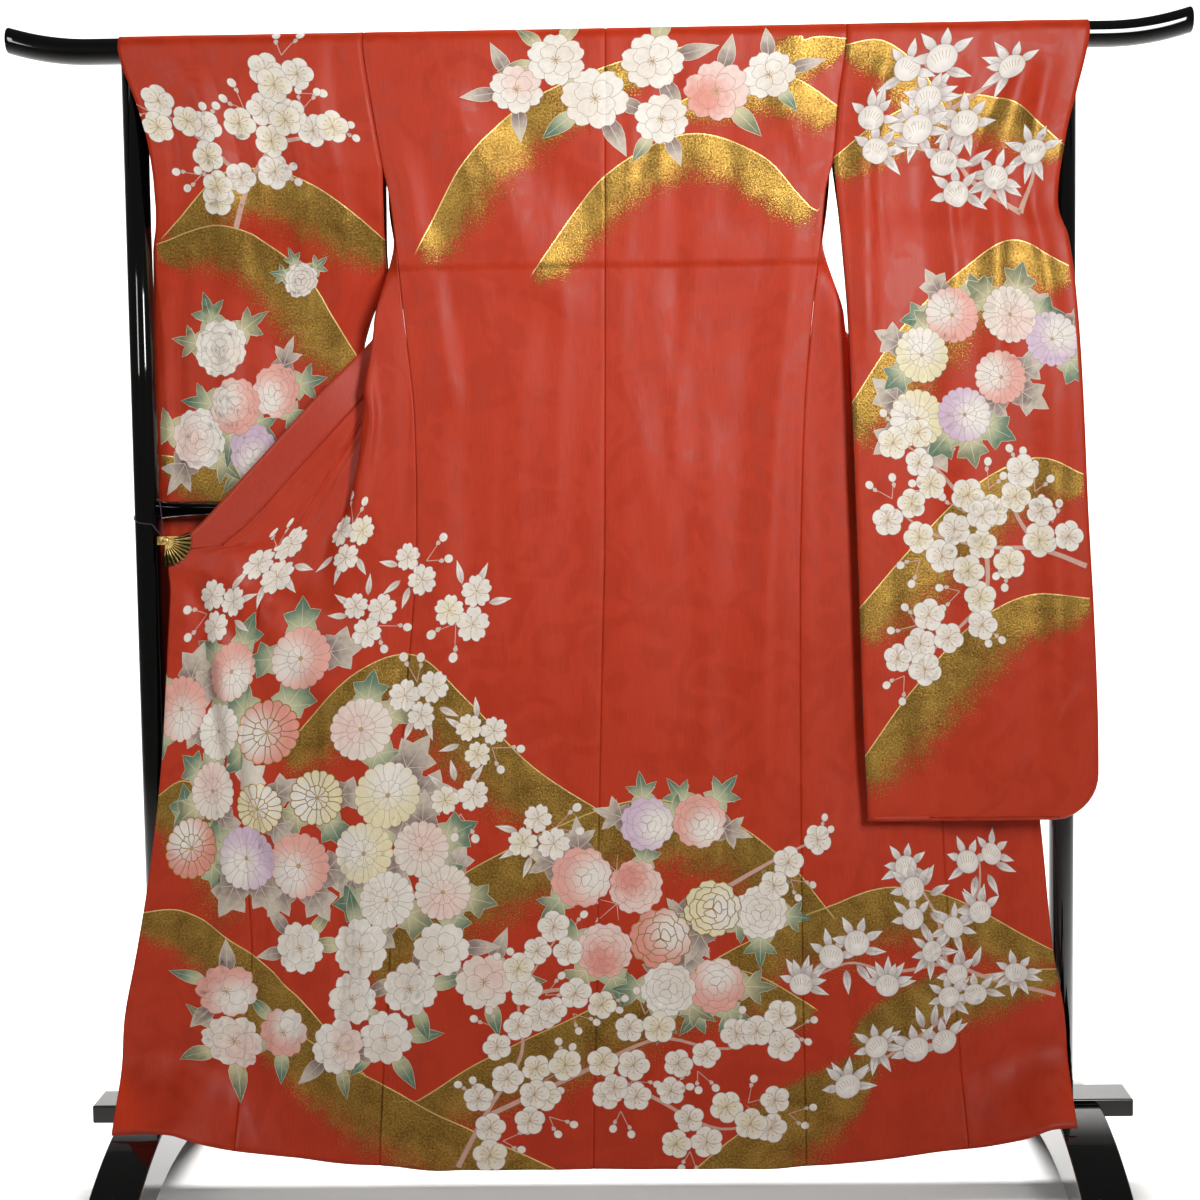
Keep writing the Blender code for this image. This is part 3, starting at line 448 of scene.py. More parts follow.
def part_of(line: Sequence[Sequence[float]], first: float, last: float,
            count: int) -> list[tuple[float, ...]]:
    """Spread points evenly along the stretch of a line between two distances.

    Args:
        line: The line's points.
        first: The distance along it where the stretch begins.
        last: The distance where it ends, which may be the smaller.
        count: How many points to spread.

    Returns:
        The points of the stretch.
    """
    lengths = run_lengths(line)
    spread = []
    for step in range(count):
        goal = first + (last - first) * step / (count - 1)
        index = 0
        while index < len(line) - 2 and lengths[index + 1] < goal:
            index += 1
        share = (goal - lengths[index]) / max(1e-9, lengths[index + 1] - lengths[index])
        spread.append(tuple(p + (q - p) * share for p, q in zip(line[index], line[index + 1])))
    return spread


def hem_point(x: float, y: float, z: float) -> Point:
    """Lift and swing the lowest cloth where the hem rises toward the ends.

    Args:
        x: The point's place across the garment.
        y: Its place from back to front.
        z: Its height.

    Returns:
        The point where it hangs.
    """
    if z > HEM_REACH_TOP:
        return (x, y, z)
    rise = smooth_table(HEM_ROWS, abs(x))[1] * ease((HEM_REACH_TOP - z) / HEM_REACH_TOP)
    out = ease((abs(x) - HEM_SWING_START) / (HEM_SWING_END - HEM_SWING_START))
    swing = HEM_SWING * out * ease((HEM_SWING_TOP - z) / HEM_SWING_TOP) ** 1.2
    return (x, y - swing, z + rise)


def bar_arc(share: float) -> Flat:
    """Give the cloth's offset from the bar's middle line at a share of its way over the bar."""
    return (-OVER_BAR * cos(pi * share), OVER_BAR * sin(pi * share))


def back_depth(x: float, z: float, depth: float) -> float:
    """Say how far toward -Y the hanging back lies, folds and the stitched tuck included.

    Args:
        x: A place across the back.
        z: Its height.
        depth: The smooth back's y at that height.

    Returns:
        The y of the cloth there.
    """
    for fold in BACK_FOLDS:
        along = (fold.z_top - z) / (fold.z_top - fold.z_foot)
        middle = fold.x_top + (fold.x_foot - fold.x_top) * along
        across = max(0.0, 1.0 - ((x - middle) / (2 * fold.half_width)) ** 2) ** 2
        depth -= fold.height * ease(along / 0.4) * across
    if TUCK_LEVEL <= z < TUCK_LEVEL + TUCK_FADE:
        depth -= TUCK_STEP * (1.0 - (z - TUCK_LEVEL) / TUCK_FADE)
    return depth


def levels() -> list[float]:
    """List the heights of the cloth's rows from the hem up to the bar."""
    count = round((BAR_HEIGHT - HEM_LEVEL) / ROW_STEP)
    plain = [HEM_LEVEL + (BAR_HEIGHT - HEM_LEVEL) * step / count for step in range(count)]
    wanted = [TUCK_LEVEL - 0.0008, TUCK_LEVEL, SIDE_SEAM_TOP, OKUMI_TOP, COLLAR_END, COLLAR_TOP, ARMHOLE_END]
    clear = [z for z in plain if all(abs(z - w) > 0.0025 for w in wanted)]
    return sorted(clear + wanted)


class Drape:
    """The surfaces on which the garment's panels hang, row by row."""

    def __init__(self) -> None:
        """Read every level once."""
        self.levels = levels()
        self.back = {z: BackRow(*smooth_table(BACK_ROWS, z)) for z in [*self.levels, BAR_HEIGHT]}
        self.fronts = {(side, z): self._front_line(side, z) for side in Side for z in self.levels}

    def _spots(self, side: Side, z: float) -> list[float]:
        """Spread the columns of a back panel from the centre seam to its side edge."""
        inner = self.back[z].centre + side.value * SEAM / 2
        width = self.back[z].edge(side) - inner
        return [inner + width * step / (PANEL_COLUMNS - 1) for step in range(PANEL_COLUMNS)]

    def back_row(self, side: Side, z: float) -> list[Point]:
        """Lay one row of a back panel from the centre seam to its side edge."""
        return [hem_point(x, back_depth(x, z, self.back[z].depth), z) for x in self._spots(side, z)]

    def bar_row(self, side: Side, share: float) -> list[Point]:
        """Lay one row of a shoulder on the bar."""
        y, up = bar_arc(share)
        return [(x, y, BAR_HEIGHT + up) for x in self._spots(side, BAR_HEIGHT)]

    def _front_line(self, side: Side, z: float) -> tuple[list[tuple[float, ...]], float]:
        """Draw one level of a front from its side edge to its free edge, and say how far its seam lies."""
        row = FrontRow(*smooth_table(FRONTS[side], z))
        start = (row.side - side.value * (ARMHOLE_GAP - SEAM), row.side_y)
        if z <= SIDE_SEAM_TOP:
            edge = self.back[z].edge(side)
            turned = ease((z - TURN_END) / (TURN_TOP - TURN_END))
            start = (edge + side.value * (SEAM + TURN_ROOM * turned), back_depth(edge, z, self.back[z].depth))
        line = smooth_line((start, *row.marks()))
        return line, run_lengths(line)[3 * LINE_STEPS]

    def front_row(self, side: Side, z: float) -> list[Point]:
        """Lay one row of a front panel from its inner seam to its side edge."""
        line, seam = self.fronts[side, z]
        return [hem_point(x, y, z) for x, y in part_of(line, seam - SEAM / 2, 0.0, PANEL_COLUMNS)]

    def collar_start(self, side: Side, z: float) -> float:
        """Say how far along a level of a front the collar begins."""
        line, seam = self.fronts[side, z]
        whole = run_lengths(line)[-1]
        if z >= OKUMI_TOP:
            return seam
        return max(seam, whole - COLLAR_SLANT) if z > COLLAR_END else whole

    def okumi_row(self, side: Side, z: float) -> list[Point]:
        """Lay one row of an overlap panel from its seam to its free edge."""
        line, seam = self.fronts[side, z]
        end = max(self.collar_start(side, z) - SEAM / 2, seam + SEAM)
        return [hem_point(x, y, z) for x, y in part_of(line, seam + SEAM / 2, end, OKUMI_COLUMNS)]

    def collar_row(self, side: Side, z: float) -> list[Point]:
        """Lay one row of the collar across its folded width."""
        line, seam = self.fronts[side, z]
        whole = run_lengths(line)[-1]
        start = self.collar_start(side, z) + (SEAM / 2 if z < OKUMI_TOP else TWIST_GAP)
        lift = 0.0
        if z <= COLLAR_END:
            start, lift = whole - COLLAR_TIP, COLLAR_TIP / 2
        return [(x, y, z + lift) for x, y in part_of(line, start, whole, COLLAR_COLUMNS)]

    def neck_rows(self, left: Sequence[Point], right: Sequence[Point]) -> list[list[Point]]:
        """Carry the collar round the back of the neck, its seam edge just under the necklines.

        Args:
            left: The collar's last row on the left front.
            right: Its first row on the right front.

        Returns:
            The rows between the two.
        """
        rows = []
        for step in range(1, NECK_STEPS):
            share = step / NECK_STEPS
            middle = 1.0 - abs(2 * share - 1)
            row = []
            for index, (start, end) in enumerate(zip(left, right)):
                x, y, z = (p + (q - p) * share for p, q in zip(start, end))
                goal = BAR_HEIGHT - NECK_DROP - COLLAR_WIDTH * index / (COLLAR_COLUMNS - 1)
                row.append((x, y + (NECK_Y - y) * middle, z + (goal - z) * middle))
            rows.append(row)
        return rows


@dataclass
class Strip:
    """One stretch of cloth with the flat coordinates in which its painting was drawn.

    The rows run up the cloth and the columns across it. A place is told by a, across, and b, up.
    """

    sheet: Sheet
    across: np.ndarray
    up: np.ndarray
    points: np.ndarray
    flip: bool

    def normals(self) -> np.ndarray:
        """Give the outward normal at each point."""
        rows = np.gradient(self.points, axis=0)
        columns = np.gradient(self.points, axis=1)
        out = np.cross(columns, rows)
        if self.flip:
            out = -out
        return out / np.maximum(np.linalg.norm(out, axis=2, keepdims=True), 1e-12)

    def crease(self) -> None:
        """Press the creases of this sheet into the points, along the normals."""
        height = np.zeros(self.points.shape[:2])
        a, b = np.meshgrid(self.across, self.up)
        for crease in CREASES[self.sheet]:
            run = np.array([crease.a_end - crease.a_start, crease.b_end - crease.b_start])
            length = hypot(*run)
            along = ((a - crease.a_start) * run[0] + (b - crease.b_start) * run[1]) / length**2
            aside = ((a - crease.a_start) * run[1] - (b - crease.b_start) * run[0]) / length
            fade = np.clip(np.minimum(along + 0.15, 1.15 - along) / 0.3, 0.0, 1.0)
            height += crease.height * fade**2 * (3 - 2 * fade) * np.exp(-(aside / crease.half_width) ** 2)
        near_bar = np.clip((BAR_HEIGHT - CREASE_CLEAR - b) / CREASE_FADE, 0.0, 1.0)
        kept = CREASE_KEPT + (1 - CREASE_KEPT) * near_bar
        height = np.where(height < 0, height * near_bar, height * kept)
        edge = np.minimum(np.arange(self.points.shape[1]), np.arange(self.points.shape[1])[::-1]) / 3.0
        self.points = self.points + self.normals() * (height * np.clip(edge, 0.0, 1.0))[..., None]

    def sink_seams(self) -> None:
        """Press the two long edges a little inward, so that each seam reads as a fine valley."""
        widths = np.linalg.norm(np.diff(self.points, axis=1), axis=2).mean(axis=0)
        for at, (first, second), width in ((1, (0, 1), widths[0]), (-1, (-2, -1), widths[-1])):
            share = min(0.45, SEAM_LIP / max(float(width), 1e-6))
            share = share if at > 0 else 1 - share
            extra = self.points[:, first] * (1 - share) + self.points[:, second] * share
            across = self.across[first] * (1 - share) + self.across[second] * share
            self.points = np.insert(self.points, at, extra, axis=1)
            self.across = np.insert(self.across, at, across)
        normals = self.normals()
        for column in (0, -1):
            self.points[:, column] -= normals[:, column] * SEAM_SINK

    def covers(self, low: Flat, high: Flat) -> bool:
        """Say whether a box of the flat coordinates reaches into this strip."""
        return (low[0] < self.across.max() and high[0] > self.across.min()
                and low[1] < self.up.max() and high[1] > self.up.min())

    def number(self, shape: bmesh.types.BMesh) -> None:
        """Change the flat places of a shape into counts of columns and rows."""
        across = np.sort(self.across)
        columns = np.interp([vert.co.x for vert in shape.verts], across, np.arange(len(across)))
        rows = np.interp([vert.co.y for vert in shape.verts], self.up, np.arange(len(self.up)))
        for vert, column, row in zip(shape.verts, columns, rows):
            vert.co.xy = column, row

    def place(self, spots: np.ndarray) -> np.ndarray:
        """Lay numbered places on the cloth, whose cells count as two flat triangles each.

        Args:
            spots: One row for each place, with its column, its row and the height above the cloth.

        Returns:
            The places in space, one row each.
        """
        order = 1 if self.across[0] < self.across[-1] else -1
        points, normals = self.points[:, ::order], self.normals()[:, ::order]
        column = np.clip(spots[:, 0].astype(int), 0, points.shape[1] - 2)
        row = np.clip(spots[:, 1].astype(int), 0, points.shape[0] - 2)
        s, t = (spots[:, 0] - column)[:, None], (spots[:, 1] - row)[:, None]
        base, lean = (np.where(s >= t,
                               grid[row, column] * (1 - s) + grid[row, column + 1] * (s - t),
                               grid[row, column] * (1 - t) + grid[row + 1, column] * (t - s))
                      + grid[row + 1, column + 1] * np.minimum(s, t) for grid in (points, normals))
        return base + lean * (spots[:, 2:3] + WALL / 2)


def rows_up(rows: Sequence[float]) -> np.ndarray:
    """List how far up the cloth each row lies, the rows over half the bar included."""
    return np.array([*rows, *(BAR_HEIGHT + OVER_BAR * pi * step / ARC_STEPS for step in HALF_ARC)])


class Garment:
    """The kimono's cloth surfaces, ready to be dressed and painted."""

    def __init__(self) -> None:
        """Work out every strip from the sizes."""
        self.drape = Drape()
        self.strips: dict[str, list[Strip]] = {}
        for side in Side:
            word = side.name.lower()
            self.strips[f"{word}_body"] = self._body(side)
            self.strips[f"{word}_okumi"] = [self._okumi(side)]
            self.strips[f"{word}_sleeve"] = self._sleeve(side)

    def _body(self, side: Side) -> list[Strip]:
        """Lay one cut length as a back strip and a front strip that meet on top of the bar."""
        drape = self.drape
        up = rows_up(drape.levels)
        back = [drape.back_row(side, z) for z in drape.levels]
        back += [drape.bar_row(side, step / ARC_STEPS) for step in HALF_ARC]
        front = [drape.front_row(side, z) for z in drape.levels]
        front += [drape.bar_row(side, 1.0 - step / ARC_STEPS) for step in HALF_ARC]
        shares = np.linspace(0.0, 1.0, PANEL_COLUMNS)
        strips = [
            Strip(Sheet.BODY, side.value * BACK_CUT * shares, up, np.array(back), side is Side.LEFT),
            Strip(Sheet.BODY, side.value * (BACK_CUT + FRONT_CUT * (1 - shares)), up, np.array(front),
                  side is Side.RIGHT),
        ]
        for strip in strips:
            strip.crease()
            strip.sink_seams()
        strips[1].points[-1] = strips[0].points[-1]
        return strips

    def _okumi(self, side: Side) -> Strip:
        """Lay one narrow overlap panel."""
        rows = [z for z in self.drape.levels if z <= OKUMI_TOP - ROW_STEP / 2]
        shares = np.linspace(0.0, 1.0, OKUMI_COLUMNS)
        strip = Strip(Sheet.BODY, side.value * (BACK_CUT + FRONT_CUT + OKUMI_CUT * shares), np.array(rows),
                      np.array([self.drape.okumi_row(side, z) for z in rows]), side is Side.LEFT)
        strip.crease()
        strip.sink_seams()
        return strip

    def _sleeve(self, side: Side) -> list[Strip]:
        """Lay the near and far layers of one long sleeve."""
        corner = [SLEEVE_BOTTOM + SLEEVE_CORNER * (1 - cos(pi / 2 * step / 10)) for step in range(10)]
        corner[0] += CORNER_LIFT
        rows = corner + [z for z in self.drape.levels if z > corner[-1] + CORNER_CLEAR]
        top = SLEEVES[side][0]
        strips = []
        for near in (True, False):
            layer = [self._sleeve_row(side, z, near) for z in rows]
            for step in HALF_ARC:
                share = step / ARC_STEPS if near else 1.0 - step / ARC_STEPS
                y, above = bar_arc(share)
                layer.append([(top.inner + (top.outer - top.inner) * column / (SLEEVE_COLUMNS - 1), y,
                               BAR_HEIGHT + above) for column in range(SLEEVE_COLUMNS)])
            name = f"{side.name}_{'NEAR' if near else 'FAR'}"
            strips.append(Strip(Sheet[name], np.linspace(0.0, SLEEVE_CUT, SLEEVE_COLUMNS),
                                rows_up(rows), np.array(layer), (side is Side.LEFT) == near))
        for strip in strips:
            strip.crease()
        strips[1].points[-1] = strips[0].points[-1]
        return strips

    def _sleeve_row(self, side: Side, z: float, near: bool) -> list[Point]:
        """Lay one level of a sleeve layer, round at the lower outer corner.

        Args:
            side: Which sleeve.
            z: The level's height.
            near: Whether it is the layer toward the viewer.

        Returns:
            The level's points, from the body outward.
        """
        row = SleeveRow(*smooth_table(SLEEVES[side], z))
        above = z - SLEEVE_BOTTOM
        pull = 0.0
        if above < SLEEVE_CORNER:
            pull = SLEEVE_CORNER - sqrt(SLEEVE_CORNER**2 - (SLEEVE_CORNER - above) ** 2)
        outer = (row.outer if near else row.outer_far) - side.value * pull
        y = row.near_y if near else row.far_y
        inner, inner_y = row.inner, y
        if z >= ARMHOLE_END:
            if near:
                body = self.drape.back[min(self.drape.back, key=lambda level: abs(level - z))]
                inner, inner_y = body.edge(side), body.depth
            else:
                front = FrontRow(*smooth_table(FRONTS[side], z))
                inner, inner_y = front.side, front.side_y
            inner += side.value * SEAM
        shares = (column / (SLEEVE_COLUMNS - 1) for column in range(SLEEVE_COLUMNS))
        return [(inner + (outer - inner) * share, y + (inner_y - y) * ease(1 - 3 * share), z)
                for share in shares]

    def rim(self, side: Side) -> np.ndarray:
        """Lay the rounded join that shuts a sleeve along its bottom and outer edge below the cuff.

        Args:
            side: Which sleeve.

        Returns:
            Rows of points, each from the near layer to the far one.
        """
        near, far = self.strips[f"{side.name.lower()}_sleeve"]
        last = SLEEVE_COLUMNS - 1
        places = [(0, column) for column in range(last)]
        places += [(row, last) for row, z in enumerate(near.up) if z <= CUFF_END]
        strips = []
        for row, column in places:
            turn = ease((SLEEVE_CORNER - (near.up[row] - SLEEVE_BOTTOM)) / SLEEVE_CORNER) * pi / 2
            outward = np.array((side.value * cos(turn), 0.0, -sin(turn)))
            if column < last:
                outward = np.array((0.0, 0.0, -1.0))
            start, end = near.points[row, column], far.points[row, column]
            bulge = min(float(np.linalg.norm(end - start)) / 2, CLOSURE_BULGE)
            bulge *= ease((CUFF_END + CUFF_CLEAR - near.up[row]) / CUFF_FADE)
            angles = [pi * step / (SLEEVE_CLOSURE + 1) for step in range(SLEEVE_CLOSURE + 2)]
            strips.append([(start + end) / 2 - cos(angle) * (end - start) / 2 + outward * bulge * sin(angle)
                           for angle in angles])
        return np.array(strips)


# The painting's colours
IVORY, CHALK, SHELL, SALMON, LILAC = "#EFE4D6", "#F4EDE2", "#F3D6CA", "#E99C8B", "#DABFD3"
ROSE, BUTTER = "#EDAE9F", "#EFE3BA"
MAUVE_LINE, ROSE_LINE, SEPIA = "#B39A90", "#C08C84", "#B39468"
TWIG, STAMEN, GOLD_THREAD = "#D2A695", "#C0A070", "#C99A3C"

# Heights of the paint above the cloth: branches lowest, leaves, and then the flowers in their overlap classes
LAYER_STEP = 0.000008
BRANCH_HEIGHT = 0.00010
LEAF_HEIGHT = 0.00014
LEAF_CLASS = 0.00005
FLOWER_HEIGHT = 0.00040
FLOWER_CLASS = 0.00022
CLASSES = 5
CLUSTER_RINGS = (0.0, 0.0, 0.90, 1.06, 1.30)
LINE_WIDTH = 0.00065
SEED = 41

# How a gold hill's line and dust run out past its ends, and above its crest
HILL_TAIL = 0.06
HILL_TIP = 0.35
HILL_END = 0.035
HILL_HALO = 0.04


def linear(code: str) -> tuple[float, float, float]:
    """Turn an sRGB hex colour into linear light.

    Args:
        code: Six hex digits after a hash.

    Returns:
        The three linear values.
    """
    parts = (int(code[index:index + 2], 16) / 255 for index in (1, 3, 5))
    return tuple(v / 12.92 if v <= 0.04045 else ((v + 0.055) / 1.055) ** 2.4 for v in parts)


class Tone(NamedTuple):
    """The colours at a petal's root and tip, and of its line."""

    root: str
    tip: str
    line: str


WHITE = Tone(SHELL, CHALK, MAUVE_LINE)
CREAM = Tone(IVORY, CHALK, MAUVE_LINE)
WARM = Tone("#EFE3C6", CHALK, MAUVE_LINE)
PINK = Tone(SALMON, SHELL, ROSE_LINE)
BLUSH = Tone(SHELL, IVORY, ROSE_LINE)
GILT = Tone(CHALK, BUTTER, GOLD_THREAD)
GILT_PINK = Tone(CHALK, SALMON, GOLD_THREAD)
PINK_RIM = Tone(CHALK, ROSE, ROSE_LINE)
LILAC_RIM = Tone(CHALK, LILAC, MAUVE_LINE)
BUTTER_RIM = Tone(CHALK, BUTTER, MAUVE_LINE)
GREEN = Tone("#D2CFA6", "#5F7C64", "#DEDCBF")
DUSK = Tone("#8A736C", "#D2C4B2", "#E6DACB")
TAN = Tone("#DACFA4", "#7C8262", "#E9E2C8")
PALE_LEAF = Tone("#D6C4B8", "#F3EBE1", "#B79F92")
FRUIT = Tone("#F6F0E8", "#E4DAD0", "#AC9A90")
FRUIT_LEAF = Tone("#C6B7B0", "#F3EDE6", "#A39188")
MIXED = (PINK_RIM, CREAM, LILAC_RIM, PINK_RIM, BUTTER_RIM, BLUSH)
SOFT = (PINK_RIM, LILAC_RIM, CREAM, PINK, WHITE, PINK_RIM)


class Habit(NamedTuple):
    """How a plant grows: its leaves, and how its flowers, leaves and buds come together."""

    width: float
    lobes: float
    length: float
    tones: tuple[Tone, ...]
    counts: tuple[int, ...] = (1,)
    leaves: int = 3
    buds: int = 0
    bud: float = 0.28
    stem: float = 0.0
    petals: tuple[Tone, ...] = (CREAM,)


HABITS = {
    Kind.CHRYSANTHEMUM: Habit(1.0, 0.34, 1.40, (GREEN, DUSK, TAN, GREEN, DUSK)),
    Kind.PEONY: Habit(0.95, 0.50, 1.45, (GREEN, TAN, GREEN, DUSK)),
    Kind.CAMELLIA: Habit(0.46, 0.0, 1.35, (TAN, DUSK, GREEN, DUSK)),
    Kind.CHERRY: Habit(0.36, 0.0, 1.45, (PALE_LEAF,), (2, 3, 3), 3, 2, 0.30, 0.15, (CREAM, CREAM, WARM)),
    Kind.CITRUS: Habit(0.40, 0.0, 1.55, (FRUIT_LEAF,), (1, 2, 1), 4, 0, 0.26, 0.0, (FRUIT,)),
    Kind.PLUM: Habit(0.40, 0.0, 0.8, (PALE_LEAF,), (2, 1, 3, 2), 0, 2, 0.27, -0.1, (CREAM, CREAM, WARM)),
}


class Patch(NamedTuple):
    """One flat patch: its outline, its colours at the heart and at a reach, and its place in the pile."""

    outline: list[Flat]
    heart: str
    rim: str
    reach: float
    level: int


class Bunch(NamedTuple):
    """A bunch scattered over an oval, of large flowers or of clusters of small ones."""

    kind: Kind
    a: float
    b: float
    reach_a: float
    reach_b: float
    lean: float
    count: int
    small: float
    large: float
    tones: tuple[Tone, ...]


class Spray(NamedTuple):
    """A branch drawn through a few places, with clusters along it."""

    kind: Kind
    path: tuple[Flat, ...]
    clusters: int
    radius: float


class Hill(NamedTuple):
    """A gold hill: its layer, how far its dust drifts down, and the line of its crest."""

    layer: int
    depth: float
    crest: tuple[Flat, ...]


def petal(length: float, width: float, broad: float = 0.62, notch: float = 0.0, ruffle: float = 0.0,
          corners: int = 14) -> list[Flat]:
    """Draw a petal that grows from the origin along +b.

    Args:
        length: From root to tip.
        width: Across its widest place.
        broad: How far toward the tip the widest place lies, from 0.5 to 0.8.
        notch: How deep the tip is split, as a share of the length.
        ruffle: How deep the edge waves, as a share of the length.
        corners: How many points the outline has.

    Returns:
        The outline's points.
    """
    power = (1.0 - broad) * 2
    outline = []
    for corner in range(corners):
        turn = 2 * pi * corner / corners
        up = ((1 - cos(turn)) / 2) ** power
        wave = ruffle * cos(turn * 7) * up
        split = notch * max(0.0, 1.0 - abs(turn - pi) / 0.45)
        outline.append((width / 2 * sin(turn) * (1 + wave), length * (up + wave * 0.5 - split)))
    return outline


def leaf_blade(length: float, width: float, steps: int = 6) -> list[Flat]:
    """Draw a leaf with a sharp tip that grows from the origin along +b."""
    shares = [step / steps for step in range(steps + 1)]
    edge = [(width / 2 * sin(pi * share**0.8) * (1 - 0.3 * share), length * share) for share in shares]
    return edge + [(-a, b) for a, b in edge[-2:0:-1]]


def palmate(length: float, width: float, depth: float) -> list[Flat]:
    """Draw a leaf with five pointed lobes that grows from the origin along +b.

    Args:
        length: From stalk to tip.
        width: How wide it is as a share of a round leaf.
        depth: How deep it is cut between two lobes, as a share of the lobe.

    Returns:
        The outline's points.
    """
    outline = [(0.0, 0.0)]
    for index in range(8, -9, -1):
        angle = index * radians(14)
        lobe = length * 0.68 * (1.0 - 0.05 * abs(index))
        reach = lobe * (1.0 - depth * abs(sin(pi * index / 4)) ** 1.4)
        outline.append((reach * sin(angle) * width, length * 0.32 + reach * cos(angle)))
    return outline


def turned(outline: Iterable[Flat], turn: float, move: Flat = (0.0, 0.0)) -> list[Flat]:
    """Turn an outline about the origin, and then move it."""
    c, s = cos(turn), sin(turn)
    return [(a * c - b * s + move[0], a * s + b * c + move[1]) for a, b in outline]


def shrunk(outline: Sequence[Flat], width: float) -> list[Flat]:
    """Pull an outline inward by a width, so that what lies under it shows as a line."""
    inner = []
    for index, (a, b) in enumerate(outline):
        before, after = outline[index - 1], outline[(index + 1) % len(outline)]
        run = (after[0] - before[0], after[1] - before[1])
        size = max(hypot(*run), 1e-9)
        inner.append((a - run[1] / size * width, b + run[0] / size * width))
    return inner


def ribbon(path: Sequence[Flat], start: float, end: float) -> list[list[Flat]]:
    """Draw a tapering line as a chain of four-sided outlines.

    Args:
        path: The points along its middle.
        start: Its width at the first point.
        end: Its width at the last.

    Returns:
        One outline for each stretch.
    """
    sides = []
    for index, (a, b) in enumerate(path):
        before, after = path[max(index - 1, 0)], path[min(index + 1, len(path) - 1)]
        run = (after[0] - before[0], after[1] - before[1])
        size = max(hypot(*run), 1e-9)
        half = (start + (end - start) * index / (len(path) - 1)) / 2
        sides.append(((a - run[1] / size * half, b + run[0] / size * half),
                      (a + run[1] / size * half, b - run[0] / size * half)))
    return [[p[1], q[1], q[0], p[0]] for p, q in zip(sides, sides[1:])]


def plain(outline: list[Flat], pigment: str, level: int) -> Patch:
    """Fill an outline with one colour."""
    return Patch(outline, pigment, pigment, 1.0, level)


def shaded(outline: list[Flat], tone: Tone, reach: float, level: int) -> Patch:
    """Fill an outline with a colour that changes from the origin out to a reach."""
    return Patch(outline, tone.root, tone.tip, reach, level)


